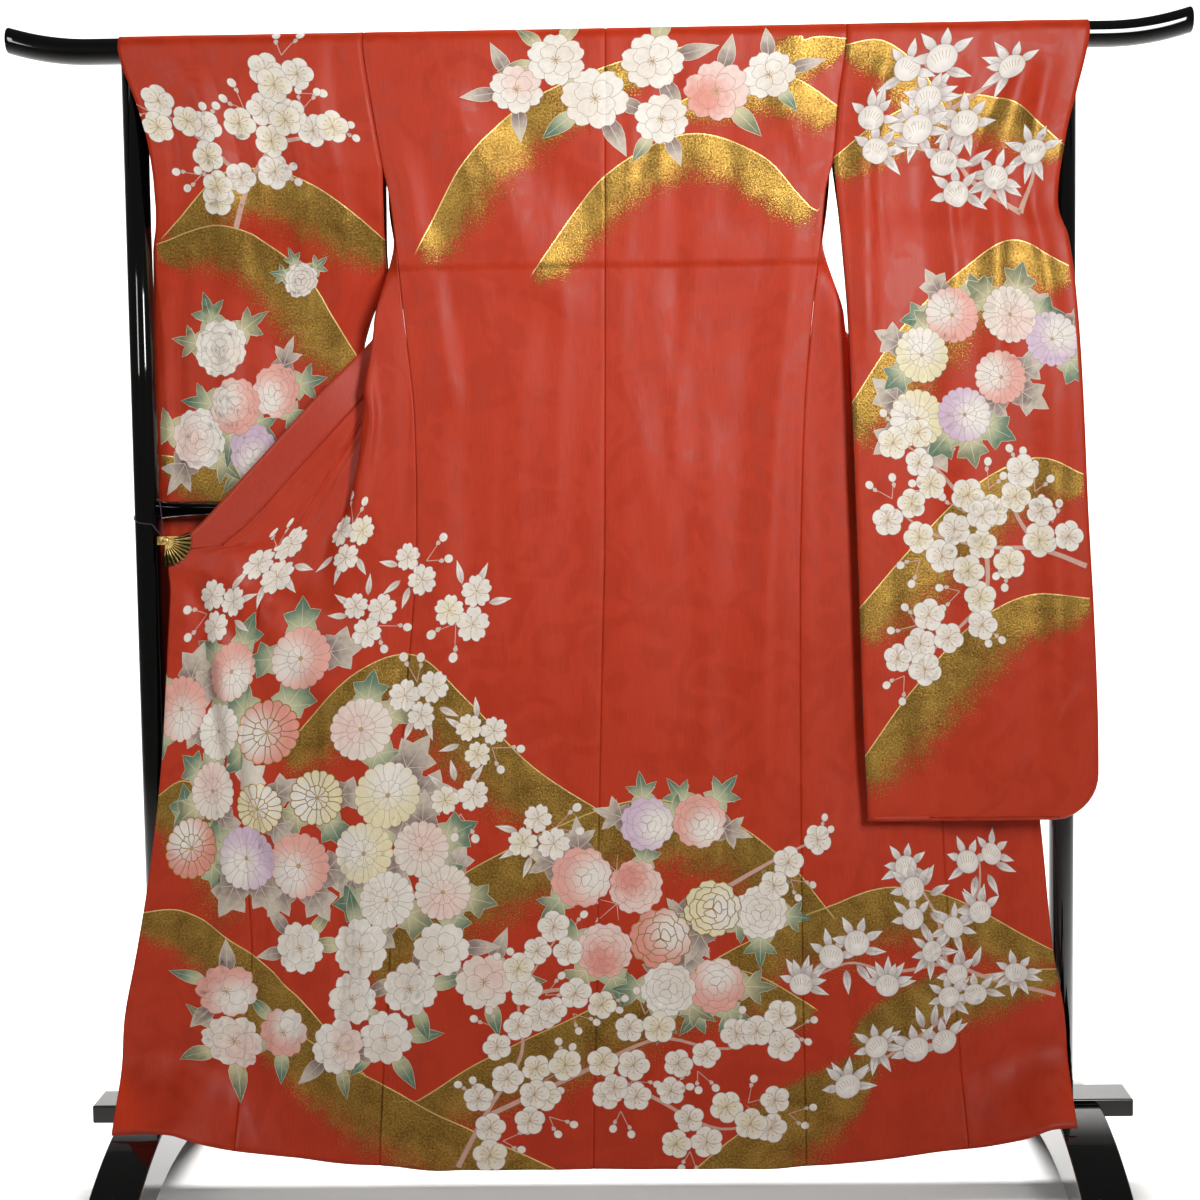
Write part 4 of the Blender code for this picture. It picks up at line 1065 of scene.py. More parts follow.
@dataclass(frozen=True)
class Bloom:
    """One painted flower, drawn round the origin."""

    kind: Kind
    radius: float
    tone: Tone

    def patches(self) -> list[Patch]:
        """Paint the flower, lowest patches first."""
        painters: dict[Kind, Callable[[], list[Patch]]] = {
            Kind.PLUM: self._plum, Kind.CHERRY: self._cherry, Kind.CAMELLIA: self._camellia,
            Kind.CHRYSANTHEMUM: self._chrysanthemum, Kind.PEONY: self._peony, Kind.CITRUS: self._citrus,
            Kind.BUD: self._bud}
        return painters[self.kind]()

    def _lined(self, outline: list[Flat], reach: float, level: int) -> list[Patch]:
        """Paint one petal with its drawn line."""
        width = LINE_WIDTH * (2.0 if self.tone.line == GOLD_THREAD else 1.0)
        inside = shaded(shrunk(outline, width), self.tone, reach, level + 1)
        return [plain(outline, self.tone.line, level), inside]

    def _ring(self, count: int, length: float, width: float, start: float, level: int,
              **shape: float) -> list[Patch]:
        """Paint a ring of petals that lie over and under each other in turn.

        Args:
            count: How many petals there are.
            length: Their length, as a share of the flower's radius.
            width: Their width, as such a share.
            start: How far the first is turned.
            level: The lowest level in the pile.
            shape: Further sizes of a petal.

        Returns:
            The patches, lowest first for each petal.
        """
        painted = []
        for index in range(count):
            over = 2 if index == count - 1 and count % 2 else index % 2
            outline = petal(length * self.radius, width * self.radius, **shape)
            outline = turned(outline, start + 2 * pi * index / count)
            painted += self._lined(outline, self.radius, level + 2 * over)
        return painted

    def _dot(self, size: float, a: float, b: float, pigment: str, level: int, corners: int = 5) -> Patch:
        """Paint one small dot."""
        return plain([(a + size * cos(2 * pi * k / corners), b + size * sin(2 * pi * k / corners))
                      for k in range(corners)], pigment, level)

    def _stamens(self, count: int, reach: float, level: int) -> list[Patch]:
        """Paint thin threads that end in dots."""
        painted = []
        for index in range(count):
            turn = 2 * pi * (index + 0.3) / count
            tip = (-sin(turn) * self.radius * reach, cos(turn) * self.radius * reach)
            painted += [plain(piece, STAMEN, level) for piece in ribbon([(0.0, 0.0), tip], 0.0006, 0.0005)]
            painted.append(self._dot(self.radius * 0.028 + 0.0003, *tip, SEPIA, level + 1, 4))
        return painted

    def _plum(self) -> list[Patch]:
        """Paint five round petals and long stamens."""
        return self._ring(5, 1.0, 0.98, 0.0, 0, broad=0.60) + self._stamens(11, 0.50, 6)

    def _cherry(self) -> list[Patch]:
        """Paint five petals with split tips."""
        return self._ring(5, 1.0, 0.86, 0.0, 0, broad=0.66, notch=0.13) + self._stamens(7, 0.40, 6)

    def _camellia(self) -> list[Patch]:
        """Paint broad petals that part at their tips, a few smaller ones inside and a bunch of stamens."""
        painted = self._ring(6, 1.0, 0.82, 0.0, 0, broad=0.62, notch=0.10, corners=16)
        painted += self._ring(4, 0.64, 0.60, 0.6, 4, broad=0.60, notch=0.08, corners=14)
        for index in range(9):
            turn = 2 * pi * index / 9
            path = [(0.0, 0.0), (-sin(turn) * self.radius * 0.17, cos(turn) * self.radius * 0.17)]
            painted += [plain(piece, STAMEN, 8) for piece in ribbon(path, 0.0008, 0.0012)]
        return painted

    def _chrysanthemum(self) -> list[Patch]:
        """Paint a ring of long narrow petals, a rosette on it and a button."""
        painted = self._ring(18, 1.0, 0.37, 0.0, 0, broad=0.84, corners=12)
        painted += self._ring(11, 0.46, 0.25, 0.1, 4, broad=0.76, corners=10)
        return [*painted, self._dot(self.radius * 0.08, 0.0, 0.0, STAMEN, 10, 7)]

    def _peony(self) -> list[Patch]:
        """Paint four rings of ruffled petals that close toward the heart."""
        painted = []
        rings = ((8, 1.00, 0.78, 0.00), (6, 0.80, 0.72, 0.35), (5, 0.56, 0.62, 0.10), (3, 0.33, 0.48, 0.50))
        for index, (count, length, width, start) in enumerate(rings):
            painted += self._ring(count, length, width, start, 6 * index, broad=0.72, ruffle=0.05, corners=22)
        return painted

    def _citrus(self) -> list[Patch]:
        """Paint a ribbed round fruit with a crown of pointed leaves behind it."""
        painted = []
        crown = Bloom(self.kind, self.radius, FRUIT_LEAF)
        for index, turn in enumerate((-1.30, -0.45, 0.40, 1.25)):
            blade = leaf_blade(self.radius * (1.25 - 0.2 * (index % 2)), self.radius * 0.62)
            root = (-sin(turn) * self.radius * 0.50, cos(turn) * self.radius * 0.50)
            painted += crown._lined(turned(blade, turn, root), self.radius * 1.5, 2 * (index % 2))
        size = self.radius * 0.78
        fruit = [(-size * sin(2 * pi * k / 18), size * 0.93 * cos(2 * pi * k / 18)) for k in range(18)]
        painted += self._lined(fruit, size, 5)
        for lean in (-0.62, -0.37, -0.12, 0.12, 0.37, 0.62):
            path = [(size * lean * (1.0 - 0.35 * s), size * (0.50 - 0.3 * lean * lean - 0.55 * s))
                    for s in (0.0, 0.5, 1.0)]
            painted += [plain(piece, STAMEN, 7) for piece in ribbon(path, 0.0008, 0.0006)]
        return painted

    def _bud(self) -> list[Patch]:
        """Paint a closed bud on its short cup."""
        cup = plain(turned(leaf_blade(self.radius * 1.3, self.radius * 1.1), pi), PALE_LEAF.root, 0)
        body = petal(self.radius * 2.1, self.radius * 1.9, 0.52, corners=12)
        return [cup, *self._lined(body, self.radius * 2, 1)]


def paint_layers(shape: bmesh.types.BMesh) -> tuple[Any, Any, Any]:
    """Give a shape the three layers that its paint is read from: heart colour, rim colour and place."""
    colours = shape.verts.layers.float_color
    return colours.new("heart"), colours.new("rim"), shape.verts.layers.float_vector.new("spot")


def leaf_patches(length: float, tone: Tone, habit: Habit) -> list[Patch]:
    """Paint one leaf with its line and its veins.

    Args:
        length: From stalk to tip.
        tone: Its colours.
        habit: The habit of its plant.

    Returns:
        The patches, lowest first.
    """
    if habit.lobes:
        blade = palmate(length, habit.width, habit.lobes)
        veins = [turned([(0.0, 0.0), (0.0, length * reach)], turn, (0.0, length * 0.22))
                 for turn, reach in ((0.0, 0.62), (-0.95, 0.46), (0.95, 0.46))]
    else:
        blade, veins = leaf_blade(length, length * habit.width), [[(0.0, 0.0), (0.0, length * 0.85)]]
    return [plain(blade, tone.line, 0), shaded(shrunk(blade, 0.0006), tone, length * 0.72, 1),
            *(plain(piece, tone.line, 2) for vein in veins for piece in ribbon(vein, 0.0009, 0.0004))]


class Painter:
    """Lays the flowers, leaves and branches of one sheet on the strips of cloth that carry it."""

    def __init__(self, sheet: Sheet, strips: Sequence[Strip]) -> None:
        """Plan the whole sheet in its own order, so that its seams cut through one painting."""
        self.sheet = sheet
        self.strips = [strip for strip in strips if strip.sheet is sheet]
        self.dice = Random(f"{SEED} {sheet.value}")
        self.flowers: list[tuple[float, float, float, int]] = []
        self.leaves: list[tuple[float, float, float, int]] = []
        self.heads: list[tuple[float, float, float]] = []
        self.layers = {id(strip): bmesh.new() for strip in self.strips}
        for layer in self.layers.values():
            paint_layers(layer)
        self.scratch = bpy.data.meshes.new("scratch")

    def paint(self) -> None:
        """Paint every bunch and spray of the sheet."""
        for plan in BUNCHES[self.sheet]:
            self._bunch(plan)
        for plan in SPRAYS[self.sheet]:
            self._spray(plan)
        bpy.data.meshes.remove(self.scratch)

    @staticmethod
    def _free_class(taken: Sequence[tuple[float, float, float, int]], a: float, b: float,
                    reach: float) -> int:
        """Find the lowest overlap class that nothing near a place uses."""
        used = {rank for x, y, r, rank in taken if hypot(a - x, b - y) < reach + r}
        return next((rank for rank in range(CLASSES) if rank not in used), CLASSES)

    def _flower(self, kind: Kind, a: float, b: float, radius: float, tone: Tone, turn: float) -> None:
        """Paint one flower above those that it overlaps, or leave it out where the pile is full.

        Args:
            kind: The flower.
            a: Its middle across the cloth.
            b: Its middle up the cloth.
            radius: Its radius.
            tone: Its colours.
            turn: How far it is turned.
        """
        rank = self._free_class(self.flowers, a, b, radius * (1.3 if kind is Kind.CITRUS else 1.0))
        if rank < CLASSES:
            self.flowers.append((a, b, radius, rank))
            lean = radius * 0.45 if HABITS.get(kind, HABITS[Kind.PLUM]).counts == (1,) else 0.0
            aside = self.dice.uniform(0.0, 2 * pi)
            self._lay(Bloom(kind, radius, tone).patches(), a, b, turn, FLOWER_HEIGHT + rank * FLOWER_CLASS,
                      (lean * cos(aside), lean * sin(aside)))

    def _leaf(self, kind: Kind, a: float, b: float, length: float, turn: float) -> None:
        """Paint one leaf of the kind that belongs to a flower.

        Args:
            kind: The flower.
            a: The leaf's root across the cloth.
            b: Its root up the cloth.
            length: From stalk to tip.
            turn: Where it points.
        """
        habit = HABITS[kind]
        middle = (a - sin(turn) * length / 2, b + cos(turn) * length / 2)
        rank = self._free_class(self.leaves, *middle, length * 0.45)
        if rank < CLASSES:
            self.leaves.append((*middle, length * 0.45, rank))
            self._lay(leaf_patches(length, self.dice.choice(habit.tones), habit), a, b, turn,
                      LEAF_HEIGHT + rank * LEAF_CLASS)

    def _bunch(self, plan: Bunch) -> None:
        """Scatter a bunch over its oval, each flower or cluster clear of the others."""
        habit = HABITS[plan.kind]
        single = habit.counts == (1,)
        placed = 0
        for _ in range(plan.count * 60):
            if placed >= plan.count:
                break
            angle, out = self.dice.uniform(0.0, 2 * pi), sqrt(self.dice.random())
            radius = self.dice.uniform(plan.small, plan.large)
            a = plan.a + plan.reach_a * out * cos(angle)
            b = plan.b + plan.reach_b * out * sin(angle) + (a - plan.a) * plan.lean
            reach, room = (radius, 0.84) if single else (radius * 2.0, 1.0)
            if any(hypot(a - x, b - y) < room * (reach + r) for x, y, r in self.heads):
                continue
            placed += 1
            self.heads.append((a, b, reach))
            outward = float(np.arctan2(plan.a - a, b - plan.b)) + self.dice.uniform(-0.5, 0.5)
            if not single:
                self._cluster(plan.kind, a, b, radius, placed, outward)
                continue
            self._flower(plan.kind, a, b, radius, self.dice.choice(plan.tones), self.dice.uniform(-0.6, 0.6))
            for index in range(habit.leaves):
                turn = outward + (index - 1) * self.dice.uniform(0.9, 1.5)
                aside = Vector((-sin(turn), cos(turn))) * radius * 0.62
                length = radius * habit.length * self.dice.uniform(0.9, 1.1)
                self._leaf(plan.kind, a + aside.x, b + aside.y, length, turn)

    def _cluster(self, kind: Kind, a: float, b: float, radius: float, index: int, turn: float) -> None:
        """Paint a few small flowers that touch, their leaves behind them and their buds ahead.

        Args:
            kind: The flowers.
            a: The cluster's middle across the cloth.
            b: Its middle up the cloth.
            radius: The radius of one flower.
            index: Which of its kind the cluster is, by which its size changes.
            turn: Where its buds point.
        """
        habit = HABITS[kind]
        count = habit.counts[index % len(habit.counts)]
        ring = radius * CLUSTER_RINGS[count]
        for step in range(count):
            angle = turn + pi / count + 2 * pi * step / count + self.dice.uniform(-0.2, 0.2)
            size = radius * self.dice.uniform(0.9, 1.08)
            self._flower(kind, a - sin(angle) * ring, b + cos(angle) * ring, size,
                         self.dice.choice(habit.petals), self.dice.uniform(-0.6, 0.6))
        for step in range(habit.leaves):
            angle = turn + pi + (step - (habit.leaves - 1) / 2) * 0.75 + self.dice.uniform(-0.15, 0.15)
            start = ring + radius * 0.3
            self._leaf(kind, a - sin(angle) * start, b + cos(angle) * start, radius * habit.length, angle)
        for step in range(habit.buds):
            angle = turn + (step - (habit.buds - 1) / 2) * 0.55 + self.dice.uniform(-0.1, 0.1)
            reach = ring + radius * (1.0 + habit.stem + 0.35 * (step % 2))
            tip = (a - sin(angle) * reach, b + cos(angle) * reach)
            twig = ribbon([(a - sin(turn) * ring, b + cos(turn) * ring), tip], 0.0016, 0.0010)
            self._lay([plain(piece, TWIG, 0) for piece in twig], 0.0, 0.0, 0.0, BRANCH_HEIGHT + LAYER_STEP)
            self._flower(Kind.BUD, *tip, radius * habit.bud, CREAM, angle)

    def _spray(self, plan: Spray) -> None:
        """Draw a branch, and set its clusters along it on either side."""
        line = smooth_line(plan.path, 6)
        twigs = ribbon(line, plan.radius * 0.32, plan.radius * 0.10)
        self._lay([plain(piece, TWIG, 0) for piece in twigs], 0.0, 0.0, 0.0, BRANCH_HEIGHT)
        spots = part_of(line, 0.0, 0.98 * run_lengths(line)[-1], plan.clusters + 1)
        for index, (behind, here) in enumerate(zip(spots, spots[1:])):
            run = (Vector(here) - Vector(behind)).normalized()
            last = index == plan.clusters - 1
            side = Vector((-run.y, run.x)) * (1 if index % 2 else -1)
            heading = side + run * (2.0 if last else 0.5)
            turn = float(np.arctan2(-heading.x, heading.y))
            place = Vector(here) + side * plan.radius * (0.0 if last else 0.9)
            self._cluster(plan.kind, *place, plan.radius, index, turn)

    def _lay(self, patches: Sequence[Patch], a: float, b: float, turn: float, height: float,
             lean: Flat = (0.0, 0.0)) -> None:
        """Cut patches along the cloth's grid, and add them to every strip that they reach.

        Args:
            patches: The patches round the origin.
            a: Where to move them across the cloth.
            b: Where to move them up the cloth.
            turn: How far to turn them first.
            height: How far above the cloth the lowest patch lies.
            lean: How far the middle of the colours lies from the origin.
        """
        drawn = bmesh.new()
        heart, rim, spot = paint_layers(drawn)
        for patch in patches:
            level = height + patch.level * LAYER_STEP
            inner = (*linear(patch.heart), float(patch.heart == GOLD_THREAD))
            outer = (*linear(patch.rim), 1.0)
            corners = []
            for (x, y), local in zip(turned(patch.outline, turn, (a, b)), patch.outline):
                corner = drawn.verts.new((x, y, level))
                corner[heart], corner[rim] = inner, outer
                corner[spot] = ((local[0] - lean[0]) / patch.reach, (local[1] - lean[1]) / patch.reach, 0.0)
                corners.append(corner)
            drawn.faces.new(corners)
        places = [corner.co for corner in drawn.verts]
        low = (min(p.x for p in places), min(p.y for p in places))
        high = (max(p.x for p in places), max(p.y for p in places))
        for strip in (s for s in self.strips if s.covers(low, high)):
            cut = drawn.copy()
            for axis, grid in enumerate((np.sort(strip.across), strip.up)):
                lines = [line for line in grid.tolist() if low[axis] < line < high[axis]]
                self._slice(cut, Vector((1.0 - axis, float(axis), 0.0)), lines, (grid[0], grid[-1]))
            strip.number(cut)
            gaps = [vert.co.x - vert.co.y for vert in cut.verts] or [0.0]
            lines = [step / 2 for step in range(ceil(min(gaps)), ceil(max(gaps)))]
            self._slice(cut, Vector((1.0, -1.0, 0.0)), lines)
            cut.to_mesh(self.scratch)
            cut.free()
            self.layers[id(strip)].from_mesh(self.scratch)
        drawn.free()

    @staticmethod
    def _slice(shape: bmesh.types.BMesh, facing: Vector, lines: Iterable[float],
               ends: tuple[float, float] | None = None) -> None:
        """Cut a flat shape at each line across a direction, and drop what lies past the two ends.

        Args:
            shape: The flat shape.
            facing: The direction.
            lines: How far along it each line lies.
            ends: The lines past which nothing stays.
        """
        for line in lines:
            bmesh.ops.bisect_plane(shape, geom=[*shape.verts, *shape.edges, *shape.faces], dist=1e-7,
                                   plane_co=facing * line, plane_no=facing, use_snap_center=False,
                                   clear_outer=ends is not None and line == ends[1],
                                   clear_inner=ends is not None and line == ends[0])

    def finish(self, strip: Strip) -> bmesh.types.BMesh:
        """Lay one strip's paint on the cloth, and hand it over.

        Args:
            strip: The strip.

        Returns:
            Its paint.
        """
        layer = self.layers[id(strip)]
        if len(layer.verts):
            spots = np.array([tuple(vert.co) for vert in layer.verts])
            for vert, place in zip(layer.verts, strip.place(spots)):
                vert.co = place
            if strip.flip == bool(strip.across[0] < strip.across[-1]):
                bmesh.ops.reverse_faces(layer, faces=layer.faces[:])
        return layer


def hill_fields(sheet: Sheet, a: np.ndarray, b: np.ndarray) -> tuple[np.ndarray, np.ndarray]:
    """Say where the gold hills lie.

    Args:
        sheet: The sheet whose hills count.
        a: Places across the cloth.
        b: Places up the cloth, of the same shape.

    Returns:
        For each place and layer, how far inside a hill's band it lies, and how thick the dust is there.
    """
    band = np.full((*a.shape, 3), -1.0)
    dust = np.zeros((*a.shape, 3))
    for plan in HILLS[sheet]:
        crest = np.array(sorted(smooth_line(plan.crest, 8)))
        slopes = [(crest[end + 1] - crest[end]) / (crest[end + 1, 0] - crest[end, 0]) for end in (0, -2)]
        crest = np.vstack((crest[0] - slopes[0] * HILL_TAIL, crest, crest[-1] + slopes[1] * HILL_TAIL))
        past = np.maximum(np.maximum(crest[1, 0] - a, a - crest[-2, 0]), 0.0)
        away = np.full(a.shape, 9.0)
        for start, end in zip(crest, crest[1:]):
            run = end - start
            along = (((a - start[0]) * run[0] + (b - start[1]) * run[1]) / (run @ run)).clip(0.0, 1.0)
            away = np.minimum(away, np.hypot(a - start[0] - along * run[0], b - start[1] - along * run[1]))
        below = away * np.where(np.interp(a, crest[:, 0], crest[:, 1]) > b, 1.0, -1.0)
        share = ((a - crest[1, 0]) / (crest[-2, 0] - crest[1, 0])).clip(0.0, 1.0)
        taper = HILL_TIP + (1 - HILL_TIP) * np.sin(np.pi * share) ** 0.6
        thick = np.where(below > 0, 1 - (np.abs(below) / plan.depth / taper) ** 1.5, 1 + below / HILL_HALO)
        thick = thick.clip(0.0, 1.0) * (1 - past / HILL_END).clip(0.0, 1.0)
        band[..., plan.layer] = np.maximum(band[..., plan.layer], np.minimum(below, plan.depth - below))
        dust[..., plan.layer] = np.maximum(dust[..., plan.layer], thick)
    return band, dust


def in_metres(path: Iterable[Flat]) -> tuple[Flat, ...]:
    """Turn places in millimetres into metres."""
    return tuple((a / 1000, b / 1000) for a, b in path)


def bunch(kind: Kind, place: Flat, reach: Flat, count: int, radii: Flat, tones: tuple[Tone, ...],
          lean: float = 0.0) -> Bunch:
    """Plan a bunch, its lengths in millimetres."""
    place, reach, radii = in_metres((place, reach, radii))
    return Bunch(kind, *place, *reach, lean, count, *radii, tones)


def spray(kind: Kind, clusters: int, radius: float, *path: Flat) -> Spray:
    """Plan a branch, its lengths in millimetres."""
    return Spray(kind, in_metres(path), clusters, radius / 1000)


def hill(layer: int, depth: float, *crest: Flat) -> Hill:
    """Plan a gold hill, its lengths in millimetres."""
    return Hill(layer, depth / 1000, in_metres(crest))


# The painting's plan: bunches of flowers, with leaves behind them
BUNCHES = {
    Sheet.BODY: (
        bunch(Kind.CHRYSANTHEMUM, (-500, 690), (4, 4), 1, (47, 49), (GILT_PINK,)),
        bunch(Kind.CHRYSANTHEMUM, (-425, 600), (4, 4), 1, (40, 42), (GILT,)),
        bunch(Kind.CHRYSANTHEMUM, (-515, 580), (4, 4), 1, (38, 40), (GILT,)),
        bunch(Kind.CHRYSANTHEMUM, (-640, 520), (4, 4), 1, (45, 47), (GILT_PINK,)),
        bunch(Kind.PEONY, (90, 385), (4, 4), 1, (45, 47), (GILT_PINK,)),
        bunch(Kind.PEONY, (170, 430), (4, 4), 1, (42, 44), (GILT,)),
        bunch(Kind.CHRYSANTHEMUM, (-490, 650), (205, 165), 14, (41, 51), MIXED, -0.3),
        bunch(Kind.CHRYSANTHEMUM, (-300, 475), (85, 55), 4, (40, 47), MIXED),
        bunch(Kind.CHERRY, (-450, 905), (165, 75), 6, (22, 26), (CREAM,), 0.25),
        bunch(Kind.CHERRY, (-215, 880), (10, 10), 1, (24, 26), (CREAM,)),
        bunch(Kind.CHERRY, (-235, 690), (70, 110), 5, (22, 26), (CREAM,)),
        bunch(Kind.CHERRY, (-110, 515), (80, 55), 3, (22, 26), (CREAM,)),
        bunch(Kind.CAMELLIA, (-370, 295), (250, 100), 13, (40, 50),
              (CREAM, PINK, WHITE, BLUSH, PINK_RIM, CREAM), 0.2),
        bunch(Kind.PEONY, (115, 440), (145, 140), 8, (40, 47), SOFT),
        bunch(Kind.CAMELLIA, (30, 1628), (210, 35), 6, (36, 46), (CREAM, WHITE, PINK, CREAM)),
        bunch(Kind.CAMELLIA, (75, 1575), (10, 4), 1, (36, 38), (CREAM,)),
        bunch(Kind.CHERRY, (225, 1645), (60, 25), 2, (22, 26), (CREAM,)),
        bunch(Kind.CAMELLIA, (440, 1560), (60, 60), 4, (34, 40), (CREAM, PINK, WHITE)),
        bunch(Kind.PEONY, (-440, 1540), (50, 60), 3, (36, 42), SOFT),
    ),
    Sheet.RIGHT_NEAR: (
        bunch(Kind.CHRYSANTHEMUM, (180, 1215), (140, 85), 9, (38, 45), MIXED, 0.45),
    ),
    Sheet.LEFT_NEAR: (
        bunch(Kind.PEONY, (205, 1185), (80, 95), 5, (39, 46), SOFT, -0.3),
        bunch(Kind.PEONY, (125, 1345), (10, 10), 1, (24, 26), (CREAM,)),
    ),
    Sheet.RIGHT_FAR: (
        bunch(Kind.CHRYSANTHEMUM, (160, 1500), (110, 90), 7, (38, 45), MIXED),
        bunch(Kind.PEONY, (180, 850), (110, 100), 6, (39, 46), SOFT),
    ),
    Sheet.LEFT_FAR: (
        bunch(Kind.CHRYSANTHEMUM, (180, 1160), (115, 120), 8, (38, 45), MIXED),
    ),
}

# Branches, with what grows along them
SPRAYS = {
    Sheet.BODY: (
        spray(Kind.PLUM, 7, 23.5, (-190, 45), (-150, 130), (-105, 215), (-110, 300), (-60, 385)),
        spray(Kind.PLUM, 7, 23.5, (-145, 125), (-10, 190), (90, 235), (190, 220), (265, 250)),
        spray(Kind.PLUM, 5, 23.5, (0, 195), (80, 150), (180, 100), (260, 125)),
        spray(Kind.PLUM, 2, 22.5, (-110, 300), (-40, 310), (10, 285)),
        spray(Kind.PLUM, 2, 22.5, (190, 460), (260, 500), (330, 530)),
        spray(Kind.CITRUS, 6, 25, (700, 260), (610, 300), (530, 335), (440, 330), (370, 345), (290, 310)),
        spray(Kind.CITRUS, 4, 25, (600, 300), (520, 250), (430, 200), (360, 155)),
        spray(Kind.CITRUS, 3, 25, (530, 335), (520, 410), (470, 490)),
        spray(Kind.CITRUS, 2, 24, (525, 400), (590, 440), (600, 500)),
    ),
    Sheet.RIGHT_NEAR: (
        spray(Kind.CITRUS, 5, 27, (280, 1430), (215, 1470), (170, 1530), (160, 1590), (110, 1650)),
        spray(Kind.CITRUS, 2, 27, (175, 1515), (110, 1530), (50, 1545)),
        spray(Kind.CITRUS, 1, 26, (165, 1580), (215, 1615), (240, 1640)),
        spray(Kind.CITRUS, 1, 26, (280, 1430), (300, 1480), (295, 1520)),
        spray(Kind.PLUM, 5, 24, (338, 925), (270, 950), (190, 955), (110, 975), (60, 1010)),
        spray(Kind.PLUM, 3, 24, (200, 955), (160, 1020), (120, 1070), (80, 1100)),
        spray(Kind.PLUM, 2, 24, (270, 950), (235, 1010), (250, 1065)),
        spray(Kind.PLUM, 4, 23.5, (190, 955), (185, 885), (130, 825), (70, 785)),
    ),
    Sheet.LEFT_NEAR: (
        spray(Kind.PLUM, 5, 25, (220, 1430), (200, 1490), (155, 1555), (150, 1610), (115, 1655)),
        spray(Kind.PLUM, 3, 24, (200, 1490), (250, 1545), (300, 1590)),
        spray(Kind.PLUM, 2, 23, (155, 1550), (105, 1555), (60, 1570)),
    ),
    Sheet.RIGHT_FAR: (
        spray(Kind.PLUM, 6, 24, (50, 1050), (140, 1110), (230, 1200), (300, 1230)),
    ),
    Sheet.LEFT_FAR: (
        spray(Kind.CITRUS, 5, 27, (60, 1420), (140, 1480), (230, 1560), (270, 1620)),
        spray(Kind.PLUM, 6, 24, (60, 700), (140, 790), (230, 890), (290, 930)),
    ),
}

# Gold hills, back to front in each place
HILLS = {
    Sheet.BODY: (
        hill(0, 106, (-250, 1425), (-195, 1510), (-110, 1595), (0, 1650), (80, 1672)),
        hill(1, 100, (-85, 1385), (0, 1495), (105, 1552), (200, 1522), (272, 1455)),
        hill(2, 94, (100, 1600), (165, 1632), (235, 1630), (297, 1590)),
        hill(0, 88, (200, 1640), (250, 1684), (298, 1684)),
        hill(1, 100, (330, 1480), (420, 1560), (520, 1500)),
        hill(1, 100, (-520, 1440), (-420, 1520), (-330, 1500)),
        hill(0, 145, (-460, 690), (-380, 780), (-290, 806), (-200, 735), (-100, 640), (5, 572)),
        hill(1, 160, (-320, 370), (-240, 455), (-100, 535), (60, 590), (190, 560), (275, 500), (330, 440)),
        hill(0, 145, (-710, 425), (-640, 425), (-540, 360), (-440, 285), (-350, 200)),
        hill(2, 160, (-710, 600), (-660, 622), (-590, 590), (-540, 520)),
        hill(2, 160, (-560, 300), (-460, 245), (-320, 175), (-190, 110), (-60, 45)),
        hill(0, 152, (-270, 130), (-170, 200), (-40, 265), (110, 335), (220, 335), (300, 290)),
        hill(2, 138, (130, 330), (230, 385), (340, 430), (450, 458), (570, 430), (705, 350)),
        hill(1, 131, (390, 240), (470, 290), (570, 312), (705, 312)),
        hill(1, 174, (130, 30), (200, 90), (290, 150), (400, 190)),
    ),
    Sheet.RIGHT_NEAR: (
        hill(0, 94, (0, 1675), (50, 1680), (110, 1640), (150, 1590)),
        hill(1, 106, (0, 1515), (70, 1570), (150, 1600), (250, 1590), (330, 1535)),
        hill(0, 138, (0, 1165), (80, 1270), (170, 1345), (260, 1392), (330, 1360)),
        hill(1, 138, (0, 870), (90, 965), (180, 1045), (270, 1082), (335, 1060)),
        hill(2, 125, (0, 655), (70, 745), (160, 840), (250, 885), (335, 880)),
    ),
    Sheet.LEFT_NEAR: (
        hill(0, 119, (0, 1410), (80, 1475), (160, 1510), (240, 1505), (310, 1440)),
        hill(1, 119, (0, 1235), (80, 1320), (160, 1395), (240, 1435), (330, 1412)),
        hill(2, 138, (100, 1000), (200, 1080), (330, 1100)),
    ),
    Sheet.RIGHT_FAR: (
        hill(0, 138, (10, 1420), (120, 1530), (230, 1560), (330, 1500)),
        hill(1, 138, (10, 1090), (120, 1160), (230, 1240), (330, 1250)),
        hill(2, 138, (10, 760), (120, 880), (230, 930), (330, 890)),
    ),
    Sheet.LEFT_FAR: (
        hill(0, 138, (10, 1400), (120, 1480), (230, 1540), (330, 1530)),
        hill(1, 138, (10, 1100), (120, 1200), (230, 1230), (330, 1170)),
        hill(2, 138, (10, 740), (120, 830), (230, 900), (330, 910)),
    ),
}


def node(tree: bpy.types.NodeTree, kind: str, feeds: dict[str | int, Any], out: str | int = 0,
         **settings: Any) -> Socket | None:
    """Add a node with its settings, values and links.

    Args:
        tree: The material's nodes.
        kind: Blender's name for the node, without the ShaderNode at its front.
        feeds: For each input, by name or number, its value or the output that feeds it.
        out: The output to hand over, by name or number.
        settings: The node's own options.

    Returns:
        That output, or None where the node has no outputs.
    """
    made = tree.nodes.new(f"ShaderNode{kind}")
    for key, value in settings.items():
        setattr(made, key, value)
    for key, value in feeds.items():
        if isinstance(value, Socket):
            tree.links.new(value, made.inputs[key])
        else:
            made.inputs[key].default_value = value
    return made.outputs[out] if len(made.outputs) else None


def colour(code: str) -> tuple[float, float, float, float]:
    """Turn an sRGB hex colour into an opaque linear one."""
    return (*linear(code), 1.0)


